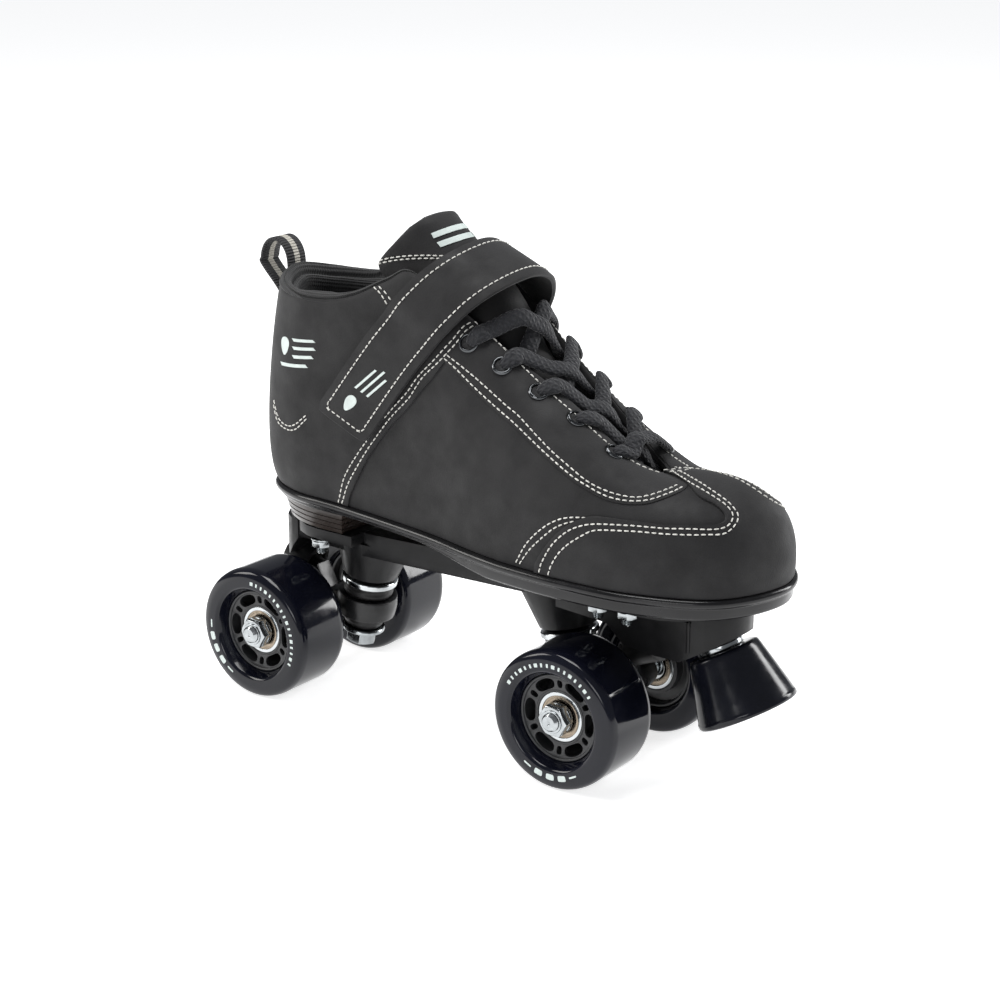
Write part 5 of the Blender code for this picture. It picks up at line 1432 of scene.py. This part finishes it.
def sewing_tree(material):
    tree = bpy.data.node_groups.new("sewing", "GeometryNodeTree")
    face = tree.interface
    face.new_socket("Geometry", in_out="INPUT", socket_type="NodeSocketGeometry")
    for name, value in (("Pitch", 2.8 * MM), ("Length", 2.1 * MM), ("Thickness", 0.62 * MM)):
        face.new_socket(name, in_out="INPUT", socket_type="NodeSocketFloat").default_value = value
    face.new_socket("Stitch", in_out="INPUT", socket_type="NodeSocketObject")
    face.new_socket("Geometry", in_out="OUTPUT", socket_type="NodeSocketGeometry")
    new, link = tree.nodes.new, tree.links.new
    given, result = new("NodeGroupInput"), new("NodeGroupOutput")
    curve = new("GeometryNodeMeshToCurve")
    link(given.outputs["Geometry"], curve.inputs[0])
    even = new("GeometryNodeResampleCurve")
    even.mode = "LENGTH"
    link(curve.outputs[0], even.inputs["Curve"])
    link(given.outputs["Pitch"], even.inputs["Length"])
    along, facing = new("GeometryNodeInputTangent"), new("GeometryNodeInputNamedAttribute")
    facing.data_type = "FLOAT_VECTOR"
    facing.inputs["Name"].default_value = "facing"
    turn = new("FunctionNodeAxesToRotation")
    turn.primary_axis, turn.secondary_axis = "Z", "X"
    link(facing.outputs["Attribute"], turn.inputs["Primary Axis"])
    link(along.outputs[0], turn.inputs["Secondary Axis"])
    size = new("ShaderNodeCombineXYZ")
    link(given.outputs["Length"], size.inputs[0])
    link(given.outputs["Thickness"], size.inputs[1])
    link(given.outputs["Thickness"], size.inputs[2])
    stitch = new("GeometryNodeObjectInfo")
    link(given.outputs["Stitch"], stitch.inputs["Object"])
    place = new("GeometryNodeInstanceOnPoints")
    link(even.outputs[0], place.inputs["Points"])
    link(stitch.outputs["Geometry"], place.inputs["Instance"])
    link(turn.outputs[0], place.inputs["Rotation"])
    link(size.outputs[0], place.inputs["Scale"])
    real, finish = new("GeometryNodeRealizeInstances"), new("GeometryNodeSetMaterial")
    finish.inputs["Material"].default_value = material
    link(place.outputs[0], real.inputs[0])
    link(real.outputs[0], finish.inputs["Geometry"])
    link(finish.outputs[0], result.inputs[0])
    return tree


SEWING = sewing_tree(thread)
stitch_shape = bpy.data.objects.new("stitch_shape", short_thread())


def sewn(name, lines, pitch=2.8 * MM, length=2.1 * MM, thick=0.62 * MM):
    """A mesh of stitches along lines of (point, normal)."""
    points, normals, edges = [], [], []
    for line in lines:
        start = len(points)
        points += [tuple(p) for p, _ in line]
        normals += [tuple(n) for _, n in line]
        edges += [(i, i + 1) for i in range(start, len(points) - 1)]
    mesh = bpy.data.meshes.new(name)
    mesh.from_pydata(points, edges, [])
    mesh.attributes.new("facing", "FLOAT_VECTOR", "POINT").data.foreach_set("vector", np.array(normals).ravel())
    obj = bpy.data.objects.new(name, mesh)
    bpy.context.scene.collection.objects.link(obj)
    modifier = obj.modifiers.new("sewing", "NODES")
    modifier.node_group = SEWING
    sockets = {item.name: item.identifier for item in SEWING.interface.items_tree if item.in_out == "INPUT"}
    for key, value in (("Pitch", pitch), ("Length", length), ("Thickness", thick), ("Stitch", stitch_shape)):
        modifier[sockets[key]] = value
    graph = bpy.context.evaluated_depsgraph_get()
    done = bpy.data.meshes.new_from_object(obj.evaluated_get(graph), depsgraph=graph)
    bpy.data.objects.remove(obj, do_unlink=True)
    done.materials.clear()
    return outwards(done)


# %% [markdown]
# The seams, each as (station, share) places on the outer side; most are mirrored to the inner side.

# %% Seam tables
SEAMS = {
    "toe_1": [(11.45, .93), (11.28, .87), (11.20, .76), (11.243, .652), (11.353, .485), (11.307, .4045),
              (11.133, .36), (10.739, .3595), (10.506, .352), (10.048, .3306), (9.59, .2744), (9.216, .2055),
              (8.856, .1178), (8.62, .0411), (8.56, .012)],
    "toe_2": [(11.56, .90), (11.40, .80), (11.36, .654), (11.411, .503), (11.387, .405), (11.167, .3305),
              (10.899, .326), (10.488, .318), (10.045, .2995), (9.565, .2417), (9.281, .1732), (8.97, .0944),
              (8.81, .0411), (8.75, .012)],
    "vamp_1": [(9.345, .2657), (8.969, .2157), (8.609, .1537), (8.236, .0783), (8.015, .0168)],
    "vamp_2": [(9.147, .2218), (8.856, .1719), (8.577, .1155), (8.29, .06), (8.099, .0156)],
    "eyestay_1": [(6.485, .579), (6.93, .592), (7.356, .585), (7.775, .572), (8.022, .565), (8.482, .522),
                  (8.821, .491), (9.118, .471), (9.396, .459), (9.651, .472), (9.893, .496), (10.136, .527),
                  (10.35, .578), (10.607, .654), (10.854, .722)],
    "eyestay_2": [(6.416, .553), (6.731, .5535), (7.155, .5405), (7.579, .5276), (7.926, .515), (8.302, .491),
                  (8.738, .46), (9.132, .433), (9.402, .434), (9.646, .4405), (9.888, .465), (10.13, .4985),
                  (10.337, .5405), (10.575, .609), (10.919, .704)],
    "opening": [(7.0, .97), (7.257, .9655), (7.566, .951), (7.908, .934), (8.755, .870), (9.415, .866),
                (9.951, .884), (10.272, .885), (10.765, .8925)],
    "quarter_1": [(6.881, .89), (6.547, .654), (6.019, .496), (5.204, .433), (4.464, .359), (3.85, .2776),
                  (3.427, .208), (3.084, .122), (2.906, .0156)],
    "collar_1": [(4.681, .9605), (4.831, .809)],
    "collar_2": [(4.82, .942), (4.979, .828)],
    "heel_1": [(1.419, .396), (1.606, .341), (1.865, .317), (2.095, .3215), (2.328, .353)],
    "heel_2": [(1.406, .379), (1.573, .327), (1.864, .302), (2.112, .304), (2.342, .340)],
}
QUARTER_2 = [(6.93, .88), (6.60, .645), (6.09, .488), (5.25, .413), (4.48, .340), (3.87, .2545), (3.49, .185),
             (3.165, .10), (2.99, .0156)]
RIDGE = [[(11.45, .97), (12, .94), (12.55, .97)], [(11.41, .93), (12, .90), (12.6, .93)],
         [(12.6, .93), (12.3, .80), (12.2, .685), (12.15, .57), (12.2, .48), (12.4, .41), (12.87, .36)],
         [(12.45, .93), (12.15, .80), (12.05, .685), (12.0, .57), (12.05, .47), (12.27, .39), (12.72, .335)]]
LIFTS = {"toe": 1.3, "vamp": 0.0, "eyestay": 0.7, "opening": 0.7, "quarter": 1.1, "collar": 1.1, "heel": 1.1}


# %% Sew the upper
def seam_line(places, lift):
    fine = curve_through(places, 0.006)
    points, normals = on_upper(fine[:, 0], fine[:, 1], (lift + 0.12) * MM)
    return list(zip(points, normals))


seam_lines = [seam_line(QUARTER_2, 1.1), seam_line(mirrored(QUARTER_2), 1.1)]
for name, places in SEAMS.items():
    lift = LIFTS[name.split("_")[0]]
    seam_lines.append(seam_line(places, lift))
    if name in ("toe_1", "toe_2"):
        places = [p for p in places if p[1] < 0.362]
    seam_lines.append(seam_line(mirrored(places), lift))
seam_lines += [seam_line(places, 1.3) for places in RIDGE]
upper_seams = sewn("upper_seams", seam_lines)
piece("upper_stitches", upper_seams, "boot", [thread], angle=60)
print("seam rows", len(seam_lines), "stitch faces", len(upper_seams.polygons))

# %% Sew the strap and the tongue
rows_in = [*np.interp(np.array([4.2, 5.5, 7.5, 10]) * MM, row_length, np.arange(len(row_length)))]
edge_rows = [rows_in[0], *np.linspace(rows_in[1], len(strap_grid) - 8, 160)]
strap_lines = []
for side in (-1, 1):
    strap_lines.append([strap_place(row, side * (0.62 if i == 0 else 0.73), 0.55 * MM)
                        for i, row in enumerate(edge_rows)])
strap_lines.append([strap_place(rows_in[0], s, 0.6 * MM) for s in np.linspace(-0.62, 0.62, 24)])
strap_lines.append([strap_place(edge_rows[-1], s, 0.55 * MM) for s in np.linspace(-0.73, 0.73, 26)])
strap_stitches = piece("strap_stitches", sewn("strap_seam", strap_lines), None, [thread], angle=60)
with_strap(strap_stitches)


def tongue_place(row, share, lift):
    """A place on the tongue's outer face: row number, share across, and lift."""
    at = np.interp(share, shares, np.arange(len(shares)))
    i, j = int(row), int(min(at, len(shares) - 2))
    i = min(i, len(tongue_grid) - 2)
    f, g = row - i, at - j
    four = [(i, j, (1 - f) * (1 - g)), (i + 1, j, f * (1 - g)), (i, j + 1, (1 - f) * g), (i + 1, j + 1, f * g)]
    point = sum(tongue_grid[a, b] * w for a, b, w in four)
    normal = sum(tongue_normals[a, b] * w for a, b, w in four)
    normal = normal / np.linalg.norm(normal)
    return point + normal * lift, normal


tongue_lines = []
for from_end in (13.5, 15.3):
    row = np.interp(tongue_length[-1] - from_end * MM, tongue_length, np.arange(len(tongue_length)))
    slope = np.interp(tongue_length[-1] - (from_end + 11) * MM, tongue_length, np.arange(len(tongue_length)))
    tongue_lines += [[tongue_place(row + (slope - row) * w, side * (0.99 - 0.42 * w), 0.06 * MM)
                      for w in np.linspace(0, 1, 50)] for side in (-1, 1)]
piece("tongue_stitches", sewn("tongue_seam", tongue_lines), "boot", [thread], angle=60)
print("strap stitch faces", len(strap_stitches.data.polygons))

# %% [markdown]
# Printed marks. The real skate carries lettering on the tongue, the strap, the heel and the wheels. Here plain
# shapes stand in their places: bars on the tongue, a petal and bars on the strap and the heel, and short ticks
# round the wheel. Each is a thin raised print that follows the surface under it.

# %% Plain marks
def printed(outline, place, thickness=0.16 * MM):
    """A raised print: an outline in flat millimetres put on a surface by a function of (across, up, lift)."""
    plate = filled([[(x * MM, y * MM) for x, y in outline]], 0, thickness)
    plate = settled(plate, ("TRIANGULATE", {}), ("SUBSURF", {"subdivision_type": "SIMPLE", "levels": 4,
                                                             "render_levels": 4}))
    for vertex in plate.vertices:
        vertex.co = Vector(place(vertex.co.x, vertex.co.y, vertex.co.z))
    return outwards(plate)


def bar(x0, y0, x1, y1, lean=0.0):
    return [(x0, y0), (x1, y0), (x1 + lean, y1), (x0 + lean, y1)]


def drop(cx, cy, size, steps=28):
    """A plain round-ended petal."""
    return [(cx + size * math.cos(a) * (0.75 + 0.25 * math.sin(a)), cy + size * 1.25 * math.sin(a))
            for a in np.linspace(0, 2 * math.pi, steps, endpoint=False)]


def on_strap(x, y, lift):
    row = np.interp(19 * MM + y, row_length, np.arange(len(row_length)))
    share = x / STRAP_HALF
    return strap_place(row, share, 0.48 * MM * (1 - share ** 4) + lift)[0]


def on_heel(x, y, lift):
    return on_upper(2.05 + x / (17.0 * MM), 0.60 + y / (105 * MM), 1.08 * MM + lift)[0]


def on_tongue(x, y, lift):
    row = np.interp(tongue_length[-1] - 16 * MM + y, tongue_length, np.arange(len(tongue_length)))
    return tongue_place(row, x / (20 * MM), lift + 0.1 * MM)[0]


strap_marks = [drop(-2.0, -5.5, 3.6), bar(-4.4, 3, -3.2, 17, 3.4), bar(-.8, 3, .4, 19, 3.8),
               bar(2.8, 3, 4.0, 16, 3.2)]
piece("strap_mark", joined(*[printed(m, on_strap) for m in strap_marks]), "strap_end", [pale_print],
      angle=30)
heel_marks = [drop(-4.6, 2.4, 3.2), bar(.6, 5.2, 10, 6.6, -1), bar(.8, 1.4, 10, 2.8, -1), bar(.8, -2.4, 9, -1, -1),
              bar(-6, -6.2, 6.6, -4.8, -1)]
piece("heel_mark", joined(*[printed(m, on_heel) for m in heel_marks]), "boot", [pale_print],
      angle=30)
tongue_marks = [bar(-11, 2.4, 11, 5.4), bar(-11, -3.2, 4, -.2), bar(5.5, -3.2, 11, -.2)]
piece("tongue_mark", joined(*[printed(m, on_tongue) for m in tongue_marks]), "boot", [pale_print],
      angle=30)


def wheel_marks():
    """Short bars of two lengths round the face, like a line of print, with longer ones opposite."""
    bars = [(24.2, 25.9, 40 + 6.8 * i, 1.1 + 0.9 * (i % 3 == 1), 0.25, 16) for i in range(17)]
    longer = ((24.4, 25.2), (23.6, 26.2), (23.6, 26.2), (23.6, 26.2), (24.4, 25.2))
    bars += [(inner, outer, 242 + 14 * i, 4.6, 0.4, 24) for i, (inner, outer) in enumerate(longer)]
    outlines = [kidney(inner * MM, outer * MM, math.radians(middle), math.radians(half), corner, steps)
                for inner, outer, middle, half, corner, steps in bars]
    return joined(*[filled([outline], high + .01 * MM, high + 0.1 * MM) for outline in outlines])


marks = wheel_marks()
for wheel, at in wheel_places():
    turned_by = Matrix.Rotation(math.radians(-62 if wheel.startswith("rear") else 0), 4, "Z")
    piece(f"{wheel}_ticks", moved(marks, at @ OUT @ turned_by), f"{wheel}_wheel", [pale_print],
          angle=30)
print("marks on the wheel", len(marks.polygons))
